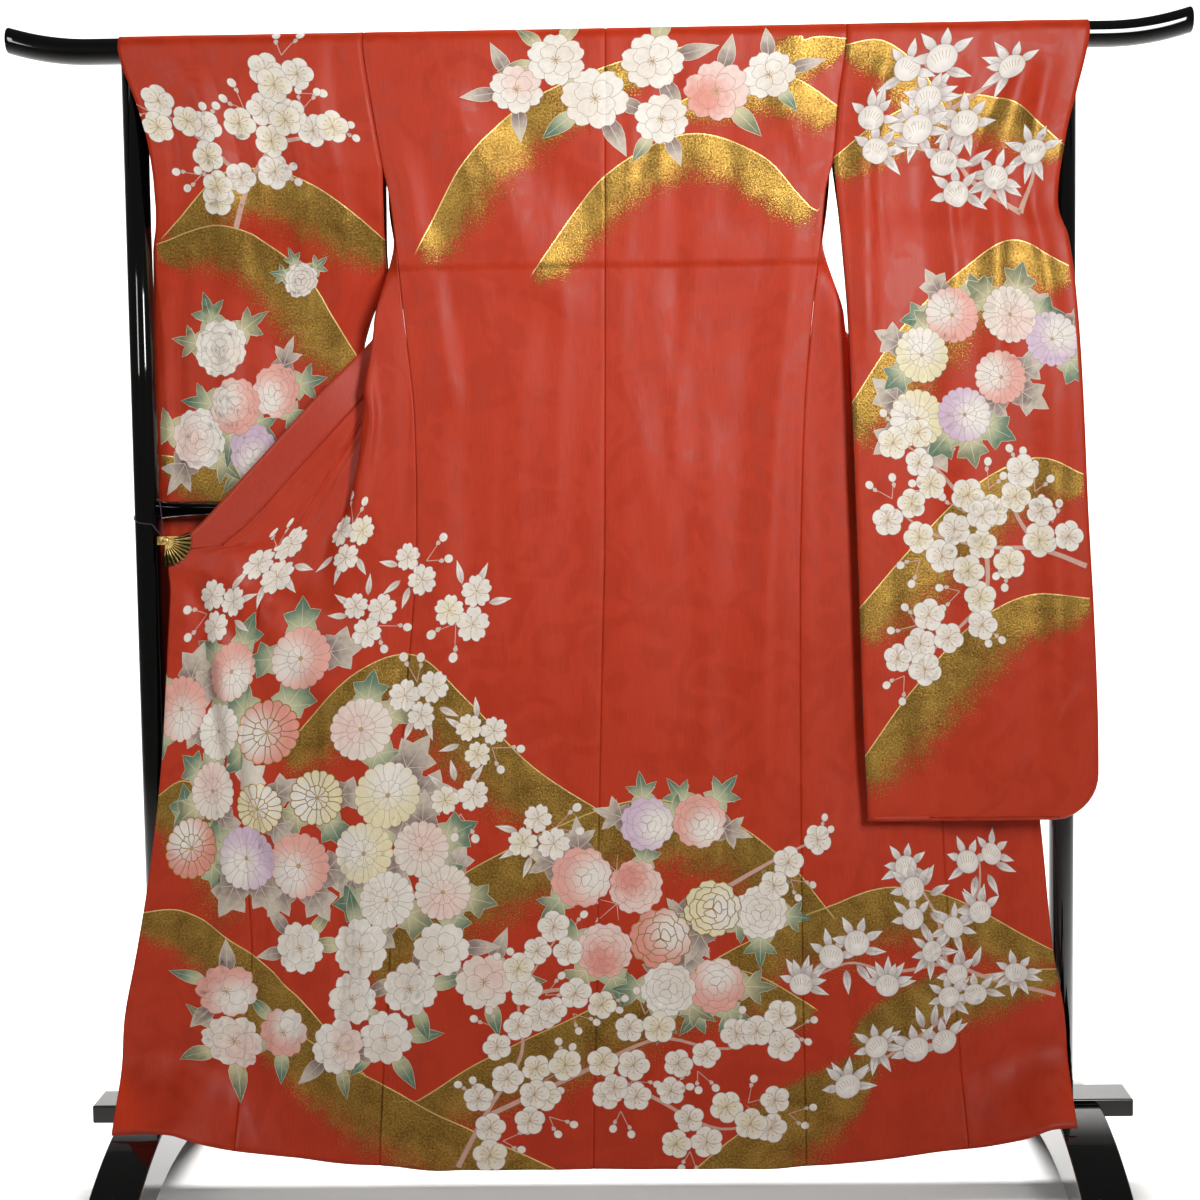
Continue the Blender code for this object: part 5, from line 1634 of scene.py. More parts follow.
@dataclass(frozen=True)
class Finish:
    """A material that is made once and shared by the pieces that wear it."""

    name: str

    def make(self) -> bpy.types.Material:
        """Make the material, or find it where it is made already."""
        if self.name in bpy.data.materials:
            return bpy.data.materials[self.name]
        material = bpy.data.materials.new(self.name)
        material.use_nodes = True
        tree = material.node_tree
        tree.nodes.clear()
        node(tree, "OutputMaterial", {"Surface": self.surface(tree)})
        return material

    def surface(self, tree: bpy.types.NodeTree) -> Socket:
        """Build the shader."""
        raise NotImplementedError


def wrinkled(tree: bpy.types.NodeTree) -> Socket:
    """Bend the light as hanging silk does: long soft creases 90 mm apart, and short ones 30 mm apart."""
    place = node(tree, "TexCoord", {}, "Object")
    down = node(tree, "Mapping", {"Vector": place, "Scale": (11.0, 11.0, 2.2), "Rotation": (0.0, 0.12, 0.0)})
    long = node(tree, "TexNoise", {"Vector": down, "Scale": 1.0, "Detail": 1.0, "Distortion": 0.5})
    across = node(tree, "Mapping", {"Vector": place, "Scale": (30.0, 30.0, 13.0),
                                    "Rotation": (0.0, -0.5, 0.0)})
    short = node(tree, "TexNoise", {"Vector": across, "Scale": 1.0, "Detail": 2.0, "Distortion": 0.4})
    height = node(tree, "Math", {0: short, 1: 0.10, 2: long}, operation="MULTIPLY_ADD")
    return node(tree, "Bump", {"Height": height, "Strength": 1.0, "Distance": 0.011})


@dataclass(frozen=True)
class FigureSatin(Finish):
    """Vermilion figured silk satin with hills of scattered gold leaf.

    Satin floats give a soft broad gloss, and the woven cloud figure turns duller and glossier in patches of
    80 to 120 mm. Threads lie 0.1 mm apart, too fine to show, so they are drawn as streaks 1.5 mm wide.
    """

    name: str = "figured silk satin"
    lit: str = "#BF3513"
    shade: str = "#B02E0F"
    gold_bright: str = "#C8A04A"
    gold_deep: str = "#7C5A24"
    gold_line: str = "#F0D388"

    def surface(self, tree: bpy.types.NodeTree) -> Socket:
        """Weave the ground, and scatter the gold over it."""
        flat = node(tree, "UVMap", {}, uv_map="pattern")
        figure = node(tree, "TexNoise", {"Vector": flat, "Scale": 11.0, "Detail": 1.0, "Distortion": 2.2})
        cloud = node(tree, "MapRange", {"Value": figure, "From Min": 0.44, "From Max": 0.52})
        stretched = node(tree, "Mapping", {"Vector": flat, "Scale": (620.0, 26.0, 1.0)})
        threads = node(tree, "TexNoise", {"Vector": stretched, "Scale": 1.0, "Detail": 2.0})
        fibre = node(tree, "MapRange", {"Value": threads, "From Min": 0.3, "From Max": 0.7})
        # The thread streaks, lighter where they rise, and the woven figure mix the lit and the shade red:
        # painted sheen of the weave.
        woven_sheen_share = node(tree, "Mix", {0: 0.4, 2: fibre, 3: cloud})
        ground = node(tree, "Mix", {0: woven_sheen_share, 6: colour(self.shade), 7: colour(self.lit)}, 2,
                      data_type="RGBA")
        gold, crest = self._gold(tree, flat)
        mottle = node(tree, "TexNoise", {"Vector": flat, "Scale": 330.0, "Detail": 3.0, "Roughness": 0.7})
        worn = node(tree, "TexNoise", {"Vector": flat, "Scale": 24.0, "Detail": 3.0, "Distortion": 0.6})
        uneven = node(tree, "Math", {0: worn, 1: 0.45, 2: mottle}, operation="MULTIPLY_ADD")
        leaf = node(tree, "MapRange", {"Value": uneven, "From Min": 0.58, "From Max": 0.94})
        metal = node(tree, "Mix", {0: leaf, 6: colour(self.gold_deep), 7: colour(self.gold_bright)}, 2,
                     data_type="RGBA")
        metal = node(tree, "Mix", {0: crest, 6: metal, 7: colour(self.gold_line)}, 2, data_type="RGBA")
        paint = node(tree, "Mix", {0: gold, 6: ground, 7: metal}, 2, data_type="RGBA")
        dull = node(tree, "MapRange", {"Value": cloud, "To Min": 0.46, "To Max": 0.54})
        rough = node(tree, "Mix", {0: gold, 2: dull, 3: 0.34})
        metallic = node(tree, "Math", {0: gold, 1: 0.72}, operation="MULTIPLY")
        flakes = node(tree, "Math", {0: mottle, 1: gold}, operation="MULTIPLY")
        height = node(tree, "Math", {0: fibre, 1: 0.05, 2: flakes}, operation="MULTIPLY_ADD")
        bump = node(tree, "Bump", {"Height": height, "Strength": 0.55, "Distance": 0.0016,
                                   "Normal": wrinkled(tree)})
        return node(tree, "BsdfPrincipled", {
            "Base Color": paint, "Roughness": rough, "Metallic": metallic,
            "Normal": bump, "IOR": 1.40, "Sheen Weight": 0.04, "Sheen Roughness": 0.4,
            "Sheen Tint": colour("#D8553A")})

    def _gold(self, tree: bpy.types.NodeTree, flat: Socket) -> tuple[Socket, Socket]:
        """Scatter gold leaf, dense at each crest and thinner as it drifts down, under a fine drawn line.

        Flakes of real leaf are under 1 mm; these are 2 mm so that they show.
        """
        fine = node(tree, "TexNoise", {"Vector": flat, "Scale": 460.0, "Detail": 2.0, "Roughness": 0.7})
        wide = node(tree, "TexNoise", {"Vector": flat, "Scale": 38.0, "Detail": 1.0})
        grain = node(tree, "Mix", {0: 0.16, 2: fine, 3: wide})
        fields = (node(tree, "Attribute", {}, "Vector", attribute_name=name) for name in ("band", "dust"))
        bands, dusts = (node(tree, "SeparateXYZ", {0: layers}).node.outputs for layers in fields)
        parts, lines = [], []
        for band, dust in zip(bands, dusts):
            inside = node(tree, "MapRange", {"Value": band, "From Min": 0.0, "From Max": 0.0004})
            thick = node(tree, "Math", {0: dust, 1: 1.25}, operation="POWER")
            edge = node(tree, "MapRange", {"Value": thick, "To Min": 0.72, "To Max": 0.26})
            over = node(tree, "Math", {0: grain, 1: edge}, operation="SUBTRACT")
            flake = node(tree, "MapRange", {"Value": over, "From Min": 0.0, "From Max": 0.02})
            drawn = node(tree, "MapRange", {"Value": band, "From Min": 0.0022, "From Max": 0.0016})
            dense = node(tree, "MapRange", {"Value": dust, "From Min": 0.25, "From Max": 0.5})
            line = node(tree, "Math", {0: drawn, 1: dense}, operation="MULTIPLY")
            lines.append(node(tree, "Math", {0: line, 1: inside}, operation="MULTIPLY"))
            part = node(tree, "Math", {0: inside, 1: flake}, operation="MULTIPLY")
            parts.append(node(tree, "Math", {0: part, 1: lines[-1]}, operation="MAXIMUM"))
        for layers in (parts, lines):
            layers[0] = node(tree, "Math", {0: layers[0], 1: layers[1]}, operation="MAXIMUM")
            layers[0] = node(tree, "Math", {0: layers[0], 1: layers[2]}, operation="MAXIMUM")
        return parts[0], lines[0]


@dataclass(frozen=True)
class HandPaint(Finish):
    """Resist-dyed pigment on silk: matt, softly uneven, with gold thread where an outline is metal."""

    name: str = "painted silk"

    def surface(self, tree: bpy.types.NodeTree) -> Socket:
        """Run each patch's colour from its heart to its rim, a little uneven as a brushed dye is."""
        heart, rim = (node(tree, "Attribute", {}, "Color", attribute_name=name) for name in ("heart", "rim"))
        thread = heart.node.outputs["Alpha"]
        spot = node(tree, "Attribute", {}, "Vector", attribute_name="spot")
        place = node(tree, "TexCoord", {}, "Object")
        far = node(tree, "VectorMath", {0: spot}, "Value", operation="LENGTH")
        wash = node(tree, "TexNoise", {"Vector": place, "Scale": 120.0, "Detail": 3.0})
        spread = node(tree, "Math", {0: wash, 1: 0.5, 2: far}, operation="MULTIPLY_ADD")
        share = node(tree, "MapRange", {"Value": spread, "From Min": 0.45, "From Max": 1.35},
                     interpolation_type="SMOOTHSTEP")
        dyed = node(tree, "Mix", {0: share, 6: heart, 7: rim}, 2,
                    data_type="RGBA")
        value = node(tree, "MapRange", {"Value": wash, "From Min": 0.3, "From Max": 0.7,
                                        "To Min": 0.88, "To Max": 1.0})
        dyed = node(tree, "Mix", {0: 1.0, 6: dyed, 7: value}, 2, data_type="RGBA",
                    blend_type="MULTIPLY")
        rough = node(tree, "MapRange", {"Value": thread, "To Min": 0.55, "To Max": 0.34})
        metal = node(tree, "Math", {0: thread, 1: 0.8}, operation="MULTIPLY")
        weave = node(tree, "TexNoise", {"Vector": place, "Scale": 600.0, "Detail": 1.0})
        bump = node(tree, "Bump", {"Height": weave, "Strength": 0.12, "Distance": 0.0003,
                                   "Normal": wrinkled(tree)})
        return node(tree, "BsdfPrincipled", {
            "Base Color": dyed, "Roughness": rough, "Metallic": metal,
            "Normal": bump, "IOR": 1.45, "Sheen Weight": 0.05, "Sheen Roughness": 0.4})


@dataclass(frozen=True)
class PlainSilk(Finish):
    """Plain-woven silk: dull, with slubs that run across it every few millimetres."""

    name: str
    lit: str
    shade: str
    rough: float

    def surface(self, tree: bpy.types.NodeTree) -> Socket:
        """Weave a quiet ground with slubs 8 mm long."""
        spot = node(tree, "TexCoord", {}, "Object")
        stretched = node(tree, "Mapping", {"Vector": spot, "Scale": (700.0, 700.0, 120.0)})
        slub = node(tree, "TexNoise", {"Vector": stretched, "Scale": 1.0, "Detail": 2.0})
        share = node(tree, "MapRange", {"Value": slub, "From Min": 0.3, "From Max": 0.7})
        # The raised slubs take the lit colour and the ground between them the shade colour: painted highlight
        # and shade.
        dyed = node(tree, "Mix", {0: share, 6: colour(self.shade), 7: colour(self.lit)}, 2,
                    data_type="RGBA")
        bump = node(tree, "Bump", {"Height": slub, "Strength": 0.15, "Distance": 0.0003})
        return node(tree, "BsdfPrincipled", {
            "Base Color": dyed, "Roughness": self.rough, "Normal": bump, "IOR": 1.54,
            "Sheen Weight": 0.05, "Sheen Roughness": 0.4})


@dataclass(frozen=True)
class Lacquer(Finish):
    """Black urushi lacquer on wood, rubbed to a deep, wet-looking gloss, with faint brush waves."""

    name: str = "black urushi lacquer"

    def surface(self, tree: bpy.types.NodeTree) -> Socket:
        """Polish the black, with brush waves 30 mm long and light rubbing marks."""
        spot = node(tree, "TexCoord", {}, "Object")
        waves = node(tree, "TexNoise", {"Vector": spot, "Scale": 34.0, "Detail": 1.0})
        rubbed = node(tree, "TexNoise", {"Vector": spot, "Scale": 9.0, "Detail": 4.0})
        rough = node(tree, "MapRange", {"Value": rubbed, "From Min": 0.35, "From Max": 0.7,
                                        "To Min": 0.05, "To Max": 0.10})
        black = node(tree, "Mix", {0: rubbed, 6: colour("#030303"), 7: colour("#080707")}, 2,
                     data_type="RGBA")
        bump = node(tree, "Bump", {"Height": waves, "Strength": 0.06, "Distance": 0.0006})
        return node(tree, "BsdfPrincipled", {
            "Base Color": black, "Roughness": rough, "Normal": bump, "IOR": 1.54,
            "Coat Weight": 0.1, "Coat Roughness": 0.03})


@dataclass(frozen=True)
class GiltBrass(Finish):
    """Stamped brass with a gilt wash: warm, brushed along, and darker where hands have rubbed it."""

    name: str = "gilt brass"
    deep: str = "#CFA24E"
    lit: str = "#F2D78E"

    def surface(self, tree: bpy.types.NodeTree) -> Socket:
        """Brush the metal, with tarnish in patches of 6 mm."""
        spot = node(tree, "TexCoord", {}, "Object")
        patches = node(tree, "TexNoise", {"Vector": spot, "Scale": 160.0, "Detail": 3.0})
        tarnish = node(tree, "MapRange", {"Value": patches, "From Min": 0.35, "From Max": 0.65})
        metal = node(tree, "Mix", {0: tarnish, 6: colour(self.deep), 7: colour(self.lit)}, 2,
                     data_type="RGBA")
        rough = node(tree, "MapRange", {"Value": tarnish, "To Min": 0.48, "To Max": 0.36})
        bump = node(tree, "Bump", {"Height": patches, "Strength": 0.08, "Distance": 0.0002})
        return node(tree, "BsdfPrincipled", {
            "Base Color": metal, "Roughness": rough, "Normal": bump,
            "Metallic": 1.0})


@dataclass(frozen=True)
class TwistedCord(Finish):
    """Dark purple silk cord, twisted from two strands that turn once every 3 mm."""

    name: str = "twisted silk cord"

    def surface(self, tree: bpy.types.NodeTree) -> Socket:
        """Draw the strands as slanting bands, darker in the grooves between them as painted shade."""
        spot = node(tree, "TexCoord", {}, "Object")
        slant = node(tree, "Mapping", {"Vector": spot, "Rotation": (0.0, radians(45), 0.0)})
        strands = node(tree, "TexWave", {"Vector": slant, "Scale": 330.0, "Distortion": 1.0})
        # The low grooves between the strands take the darker purple: painted shade.
        dyed = node(tree, "Mix", {0: strands, 6: colour("#1C0F1C"), 7: colour("#4A2A48")}, 2,
                    data_type="RGBA")
        bump = node(tree, "Bump", {"Height": strands, "Strength": 0.4, "Distance": 0.0003})
        return node(tree, "BsdfPrincipled", {
            "Base Color": dyed, "Roughness": 0.6, "Normal": bump, "Sheen Weight": 0.3})


@dataclass(frozen=True)
class StudioPaper(Finish):
    """Seamless studio paper: matt and even, with a faint tooth."""

    name: str = "studio paper"
    tone: str = "#F1F0EE"

    def surface(self, tree: bpy.types.NodeTree) -> Socket:
        """Keep the paper pale, with a tooth 4 mm across."""
        spot = node(tree, "TexCoord", {}, "Object")
        tooth = node(tree, "TexNoise", {"Vector": spot, "Scale": 250.0})
        pale = node(tree, "Mix", {0: tooth, 6: colour(self.tone), 7: colour("#F6F5F3")}, 2,
                    data_type="RGBA")
        return node(tree, "BsdfPrincipled", {"Base Color": pale, "Roughness": 0.9})


SILK = FigureSatin()
PAINT = HandPaint()
# The lining's dark maroon is partly its own colour and partly painted shade of the garment's dim inside.
SHADED_LINING = PlainSilk("maroon silk lining", "#5A2A2A", "#40201F", 0.6)
COLLAR_SILK = PlainSilk("vermilion collar silk", "#BC3518", "#AA2F14", 0.48)
LACQUER = Lacquer()
BRASS = GiltBrass()
# Dark brass for the steep flanks of the fan's pleats: patina and painted shade of the folds.
PATINA_AND_SHADE = GiltBrass("patina in the folds of the brass", "#1E160A", "#3A2B12")
CORD_SILK = TwistedCord()
PAPER = StudioPaper()


def dressed(shape: bmesh.types.BMesh, name: str, *finishes: Finish, smooth: bool = True) -> bpy.types.Object:
    """Turn a shape into a piece at the origin.

    Args:
        shape: The shape, which is used up.
        name: The piece's name.
        finishes: Its materials, in the order of its faces' numbers.
        smooth: Whether its faces shade into each other.

    Returns:
        The piece.
    """
    mesh = bpy.data.meshes.new(name)
    shape.to_mesh(mesh)
    shape.free()
    for finish in finishes:
        mesh.materials.append(finish.make())
    if smooth:
        mesh.shade_smooth()
    piece = bpy.data.objects.new(name, mesh)
    bpy.context.scene.collection.objects.link(piece)
    LOG.info("%s: %d faces", name, len(mesh.polygons))
    return piece


def stand_in(piece: bpy.types.Object, slot: str, *nodes: str) -> bpy.types.Object:
    """Let a piece ride on the part in place of its solids.

    Args:
        piece: The piece.
        slot: Not used.
        nodes: The nodes that it replaces.

    Returns:
        The same piece.
    """
    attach(piece, "root")
    if nodes:
        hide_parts(*nodes)
    return piece


def laid_grid(shape: bmesh.types.BMesh,
              points: np.ndarray) -> tuple[list[tuple[bmesh.types.BMVert, tuple[int, int]]], list[Any]]:
    """Add a grid of faces through rows of points.

    Args:
        shape: The shape that gets the grid.
        points: The points, row by row.

    Returns:
        Each corner with its row and column, and the grid's faces.
    """
    rows, columns = points.shape[:2]
    made = bmesh.ops.create_grid(shape, x_segments=columns - 1, y_segments=rows - 1, size=1.0)["verts"]
    spots = []
    for vert in made:
        place = round((vert.co.y + 1) / 2 * (rows - 1)), round((vert.co.x + 1) / 2 * (columns - 1))
        vert.co = points[place]
        spots.append((vert, place))
    return spots, list({face for vert in made for face in vert.link_faces})


def extruded(shape: bmesh.types.BMesh, outline: Iterable[Point], move: Point) -> None:
    """Add a solid that is drawn out from its outline.

    Args:
        shape: The shape that gets the solid.
        outline: The corners of its first face.
        move: How far its last face lies from the first.
    """
    face = shape.faces.new([shape.verts.new(corner) for corner in outline])
    grown = bmesh.ops.extrude_face_region(shape, geom=[face])["geom"]
    verts = [item for item in grown if isinstance(item, bmesh.types.BMVert)]
    bmesh.ops.translate(shape, verts=verts, vec=move)
    bmesh.ops.recalc_face_normals(shape, faces=shape.faces[:])


def woven(strips: Sequence[Strip], rim: np.ndarray | None = None) -> bmesh.types.BMesh:
    """Draw a cloth from its strips, with the flat coordinates and the gold of each.

    Args:
        strips: The strips, which meet edge to edge.
        rim: Rows of points that shut a sleeve, from its near to its far edge.

    Returns:
        The shape, its faces turned outward.
    """
    shape = bmesh.new()
    pattern = shape.loops.layers.uv.new("pattern")
    bands = shape.loops.layers.float_vector.new("band")
    dusts = shape.loops.layers.float_vector.new("dust")
    for strip in strips:
        a, b = np.meshgrid(strip.across, strip.up)
        band, dust = hill_fields(strip.sheet, a, b)
        spots, faces = laid_grid(shape, strip.points)
        for vert, place in spots:
            for loop in vert.link_loops:
                loop[pattern].uv = (a[place], b[place])
                loop[bands], loop[dusts] = band[place], dust[place]
        rising = bool(strip.across[0] < strip.across[-1])
        split = bmesh.ops.triangulate(shape, faces=faces, quad_method="FIXED" if rising else "ALTERNATE")
        if strip.flip:
            bmesh.ops.reverse_faces(shape, faces=split["faces"])
    if rim is not None:
        spots, faces = laid_grid(shape, rim)
        for vert, (row, column) in spots:
            for loop in vert.link_loops:
                loop[pattern].uv = (row * 0.008, column * 0.002)
                loop[bands] = (-1.0, -1.0, -1.0)
        half, count = len(rim) // 2, rim.shape[1] // 2
        middle = rim[half]
        out = np.cross(middle[count + 1] - middle[count - 1], rim[half + 1][count] - rim[half - 1][count])
        if float(np.dot(out, middle[count] - (middle[0] + middle[-1]) / 2)) < 0:
            bmesh.ops.reverse_faces(shape, faces=faces)
    bmesh.ops.remove_doubles(shape, verts=shape.verts[:], dist=1e-6)
    return shape


def add_wall(piece: bpy.types.Object, wall: float) -> None:
    """Give a cloth its thickness, with the second material on its inner side.

    Args:
        piece: The cloth.
        wall: The thickness.
    """
    solid = piece.modifiers.new("Wall", "SOLIDIFY")
    solid.thickness = wall
    solid.offset = 0.0
    solid.use_even_offset = False
    solid.material_offset = 1


@dataclass
class Kimono:
    """The garment: two bodies, two overlaps, two long sleeves and the collar, with their painting."""

    body_flat: Flat = (0.30, 3.34)
    okumi_flat: Flat = (0.17, 1.16)
    sleeve_flat: Flat = (0.34, 2.30)
    collar_flat: Flat = (0.055, 1.75)
    garment: Garment = field(default_factory=Garment)

    def build(self) -> None:
        """Hang the cloth, and lay the painting on it."""
        painters = self._painters()
        for side in Side:
            word = side.name.lower()
            self._cloth(f"{word}_body", painters)
            self._cloth(f"{word}_okumi", painters)
            self._cloth(f"{word}_sleeve", painters, self.garment.rim(side))
        self._collar()

    def _painters(self) -> list[Painter]:
        """Paint every sheet."""
        strips = [strip for group in self.garment.strips.values() for strip in group]
        painters = [Painter(sheet, strips) for sheet in Sheet]
        for painter in painters:
            painter.paint()
            LOG.info("painted %s: %d flowers", painter.sheet.value, len(painter.flowers))
        return painters

    def _cloth(self, node_name: str, painters: list[Painter],
               rim: np.ndarray | None = None) -> None:
        """Make one cloth, and the paint that lies on it.

        Args:
            node_name: The cloth's node.
            painters: The painted sheets.
            rim: Rows of points that shut a sleeve.
        """
        strips = self.garment.strips[node_name]
        cloth = dressed(woven(strips, rim), f"{node_name}_silk", SILK, SHADED_LINING)
        add_wall(cloth, WALL)
        stand_in(cloth, "silk", node_name)
        paint = bmesh.new()
        paint_layers(paint)
        scratch = bpy.data.meshes.new("scratch")
        for painter in painters:
            for strip in (s for s in strips if s.sheet is painter.sheet):
                layer = painter.finish(strip)
                layer.to_mesh(scratch)
                layer.free()
                paint.from_mesh(scratch)
        bpy.data.meshes.remove(scratch)
        bmesh.ops.triangulate(paint, faces=[face for face in paint.faces if len(face.verts) > 4])
        painting = stand_in(dressed(paint, f"{node_name}_painting", PAINT), "silk")

    def _collar(self) -> None:
        """Make the folded collar as one long band."""
        drape = self.garment.drape
        heights = [z for z in drape.levels if COLLAR_END <= z <= COLLAR_TOP]
        left = [drape.collar_row(Side.LEFT, z) for z in heights]
        right = [drape.collar_row(Side.RIGHT, z) for z in reversed(heights)]
        points = np.array([*left, *drape.neck_rows(left[-1], right[0]), *right])
        strip = Strip(Sheet.BODY, np.linspace(0.0, COLLAR_WIDTH, COLLAR_COLUMNS) + 5.0,
                      np.linspace(0.0, self.collar_flat[1], len(points)), points, False)
        band = dressed(woven([strip]), "collar_band", COLLAR_SILK, COLLAR_SILK)
        add_wall(band, COLLAR_WALL)
        stand_in(band, "silk", "collar")


def sweep(stations: Sequence[tuple[Vector, float]], sides: int = 40) -> bmesh.types.BMesh:
    """Draw a round bar through its stations.

    Args:
        stations: The middle and radius of the bar at each place along it.
        sides: How many sides it has.

    Returns:
        The closed shape.
    """
    shape = bmesh.new()
    facing = (stations[-1][0] - stations[0][0]).to_track_quat("Z", "Y").to_matrix().to_4x4()
    centre, radius = stations[0]
    ring = bmesh.ops.create_circle(shape, cap_ends=True, segments=sides, radius=radius,
                                   matrix=Matrix.Translation(centre) @ facing)["verts"]
    edges = list({edge for vert in ring for edge in vert.link_edges})
    for place, size in stations[1:]:
        grown = bmesh.ops.extrude_edge_only(shape, edges=edges)["geom"]
        verts = [item for item in grown if isinstance(item, bmesh.types.BMVert)]
        edges = [item for item in grown if isinstance(item, bmesh.types.BMEdge)]
        bmesh.ops.translate(shape, verts=verts, vec=place - centre)
        bmesh.ops.scale(shape, verts=verts, vec=(size / radius,) * 3, space=Matrix.Translation(-place))
        centre, radius = place, size
    bmesh.ops.contextual_create(shape, geom=edges)
    bmesh.ops.recalc_face_normals(shape, faces=shape.faces[:])
    return shape


@dataclass
class Rack:
    """The lacquered rack: swept-up top bar, two posts, a rail, a plank and two arched feet."""

    rail_radius: float = 0.0125
    rail_height: float = 1.020
    plank_half_length: float = 0.772
    plank_depth: float = 0.078
    plank_top: float = 0.135
    plank_height: float = 0.027
    foot_inner: float = 0.650
    foot_outer: float = 0.722
    foot_half_length: float = 0.385
    foot_top: float = 0.128
    foot_top_radius: float = 0.70
    arch_half: float = 0.300
    arch_rise: float = 0.052
    tenon_share: float = 0.6
    saddle_share: float = 0.5
    edge_round: float = 0.0025
    plank_round: float = 0.003
    arc_steps: int = 24

    def build(self) -> None:
        """Build the rack from the top down."""
        self._top_bar()
        for side in Side:
            self._post(side)
            self._foot(side)
        self._rail()
        self._plank()

    @staticmethod
    def _lacquered(shape: bmesh.types.BMesh, solid: str, word: str = "", even: bool = False) -> None:
        """Dress a shape in lacquer in place of its solid, with evenly shaded flat faces or not.

        Args:
            shape: The shape, which is used up.
            solid: The node that it replaces.
            word: The piece's own word, where it isn't the node's.
            even: Whether its flat faces shade evenly.
        """
        piece = dressed(shape, f"lacquered_{word or solid}", LACQUER)
        if even:
            piece.modifiers.new("Even shading", "WEIGHTED_NORMAL")
        stand_in(piece, "lacquer", solid)

    def _top_bar(self) -> None:
        """Sweep the bar along its line, with rounded ends that turn gently up."""
        stations = []
        ease_off = ((0.0, 0.0030), (0.0004, 0.0016), (0.0016, 0.0004), (0.0035, 0.0))
        for step in range(-self.arc_steps, self.arc_steps + 1):
            share = abs(step) / self.arc_steps
            bend = max(0.0, share - 0.5) * 2
            x = BAR_STRAIGHT_HALF * min(1.0, share * 2)
            x += (BAR_HALF_LENGTH - ease_off[-1][0] - BAR_STRAIGHT_HALF) * bend
            place = Vector((x if step > 0 else -x, 0.0, BAR_HEIGHT + BAR_END_RISE * bend**2))
            stations.append((place, BAR_RADIUS))
        for inset, less in reversed(ease_off[:-1]):
            z = BAR_HEIGHT + BAR_END_RISE
            stations.append((Vector((BAR_HALF_LENGTH - inset, 0.0, z)), BAR_RADIUS - less))
            stations.insert(0, (Vector((inset - BAR_HALF_LENGTH, 0.0, z)), BAR_RADIUS - less))
        self._lacquered(sweep(stations, 56), "top_bar")

    def _post(self, side: Side) -> None:
        """Stand a round post under the bar, hollowed at its top to fit it."""
        x = side.value * POST_REACH
        bottom, top = self.plank_top + CONTACT, BAR_HEIGHT - BAR_RADIUS * self.saddle_share
        heights = (bottom, bottom + 0.5, 1.2, top)
        shape = sweep([(Vector((x, 0.0, z)), POST_RADIUS) for z in heights], 48)
        for vert in shape.verts:
            if vert.co.z > top - 1e-4:
                reach = sqrt(max(0.0, (BAR_RADIUS + CONTACT) ** 2 - vert.co.y**2))
                vert.co.z = BAR_HEIGHT - max(reach, BAR_RADIUS * self.saddle_share)
        self._lacquered(shape, f"{side.name.lower()}_post")

    def _rail(self) -> None:
        """Set the rail between the posts, hollowed at both ends to fit them."""
        reach = POST_REACH - POST_RADIUS * self.tenon_share
        stations = [(Vector((x, 0.0, self.rail_height)), self.rail_radius) for x in (-reach, 0.0, reach)]
        shape = sweep(stations, 40)
        for vert in shape.verts:
            if abs(vert.co.x) > reach - 1e-4:
                hollow = sqrt(max(0.0, (POST_RADIUS + CONTACT) ** 2 - vert.co.y**2))
                hollow = max(hollow, POST_RADIUS * self.tenon_share)
                vert.co.x = (POST_REACH - hollow) * (1 if vert.co.x > 0 else -1)
        self._lacquered(shape, "mid_bar", "rail")

    def _plank(self) -> None:
        """Lay the long plank, its edges rounded."""
        shape = bmesh.new()
        made = bmesh.ops.create_cube(shape, size=1.0)["verts"]
        size = (2 * self.plank_half_length, self.plank_depth, self.plank_height)
        bmesh.ops.scale(shape, verts=made, vec=size)
        bmesh.ops.translate(shape, verts=made, vec=(0.0, 0.0, self.plank_top - self.plank_height / 2))
        bmesh.ops.bevel(shape, geom=shape.edges[:], offset=self.plank_round, segments=4, profile=0.5,
                        affect="EDGES", material=-1)
        self._lacquered(shape, "base_plank", "plank", even=True)

    def _foot_outline(self) -> list[Flat]:
        """Draw an arched foot from the side, with the notch that takes the plank."""
        notch = self.plank_depth / 2 + CONTACT
        floor = self.plank_top - self.plank_height - CONTACT
        half = [(notch, floor)]
        for step in range(self.arc_steps + 1):
            y = notch + (self.foot_half_length - notch) * step / self.arc_steps
            half.append((y, self.foot_top - self.foot_top_radius + sqrt(self.foot_top_radius**2 - y * y)))
        half += [(self.foot_half_length, 0.0), (self.arch_half, 0.0)]
        arch = (self.arch_half**2 + self.arch_rise**2) / (2 * self.arch_rise)
        for step in range(1, self.arc_steps):
            y = self.arch_half * (1 - step / self.arc_steps)
            half.append((y, self.arch_rise - arch + sqrt(arch * arch - y * y)))
        return [*half, (0.0, self.arch_rise), *((-y, z) for y, z in reversed(half))]

    def _foot(self, side: Side) -> None:
        """Cut one foot from its outline, and round its edges."""
        low = -self.foot_outer if side is Side.LEFT else self.foot_inner
        shape = bmesh.new()
        width = self.foot_outer - self.foot_inner
        extruded(shape, [(low, y, z) for y, z in self._foot_outline()], (width, 0.0, 0.0))
        rims = [edge for edge in shape.edges if len(edge.link_faces) == 2 and edge.calc_face_angle() > 0.6]
        bmesh.ops.bevel(shape, geom=rims, offset=self.edge_round, segments=3, profile=0.5, affect="EDGES",
                        material=-1, clamp_overlap=True)
        self._lacquered(shape, f"{side.name.lower()}_foot", even=True)


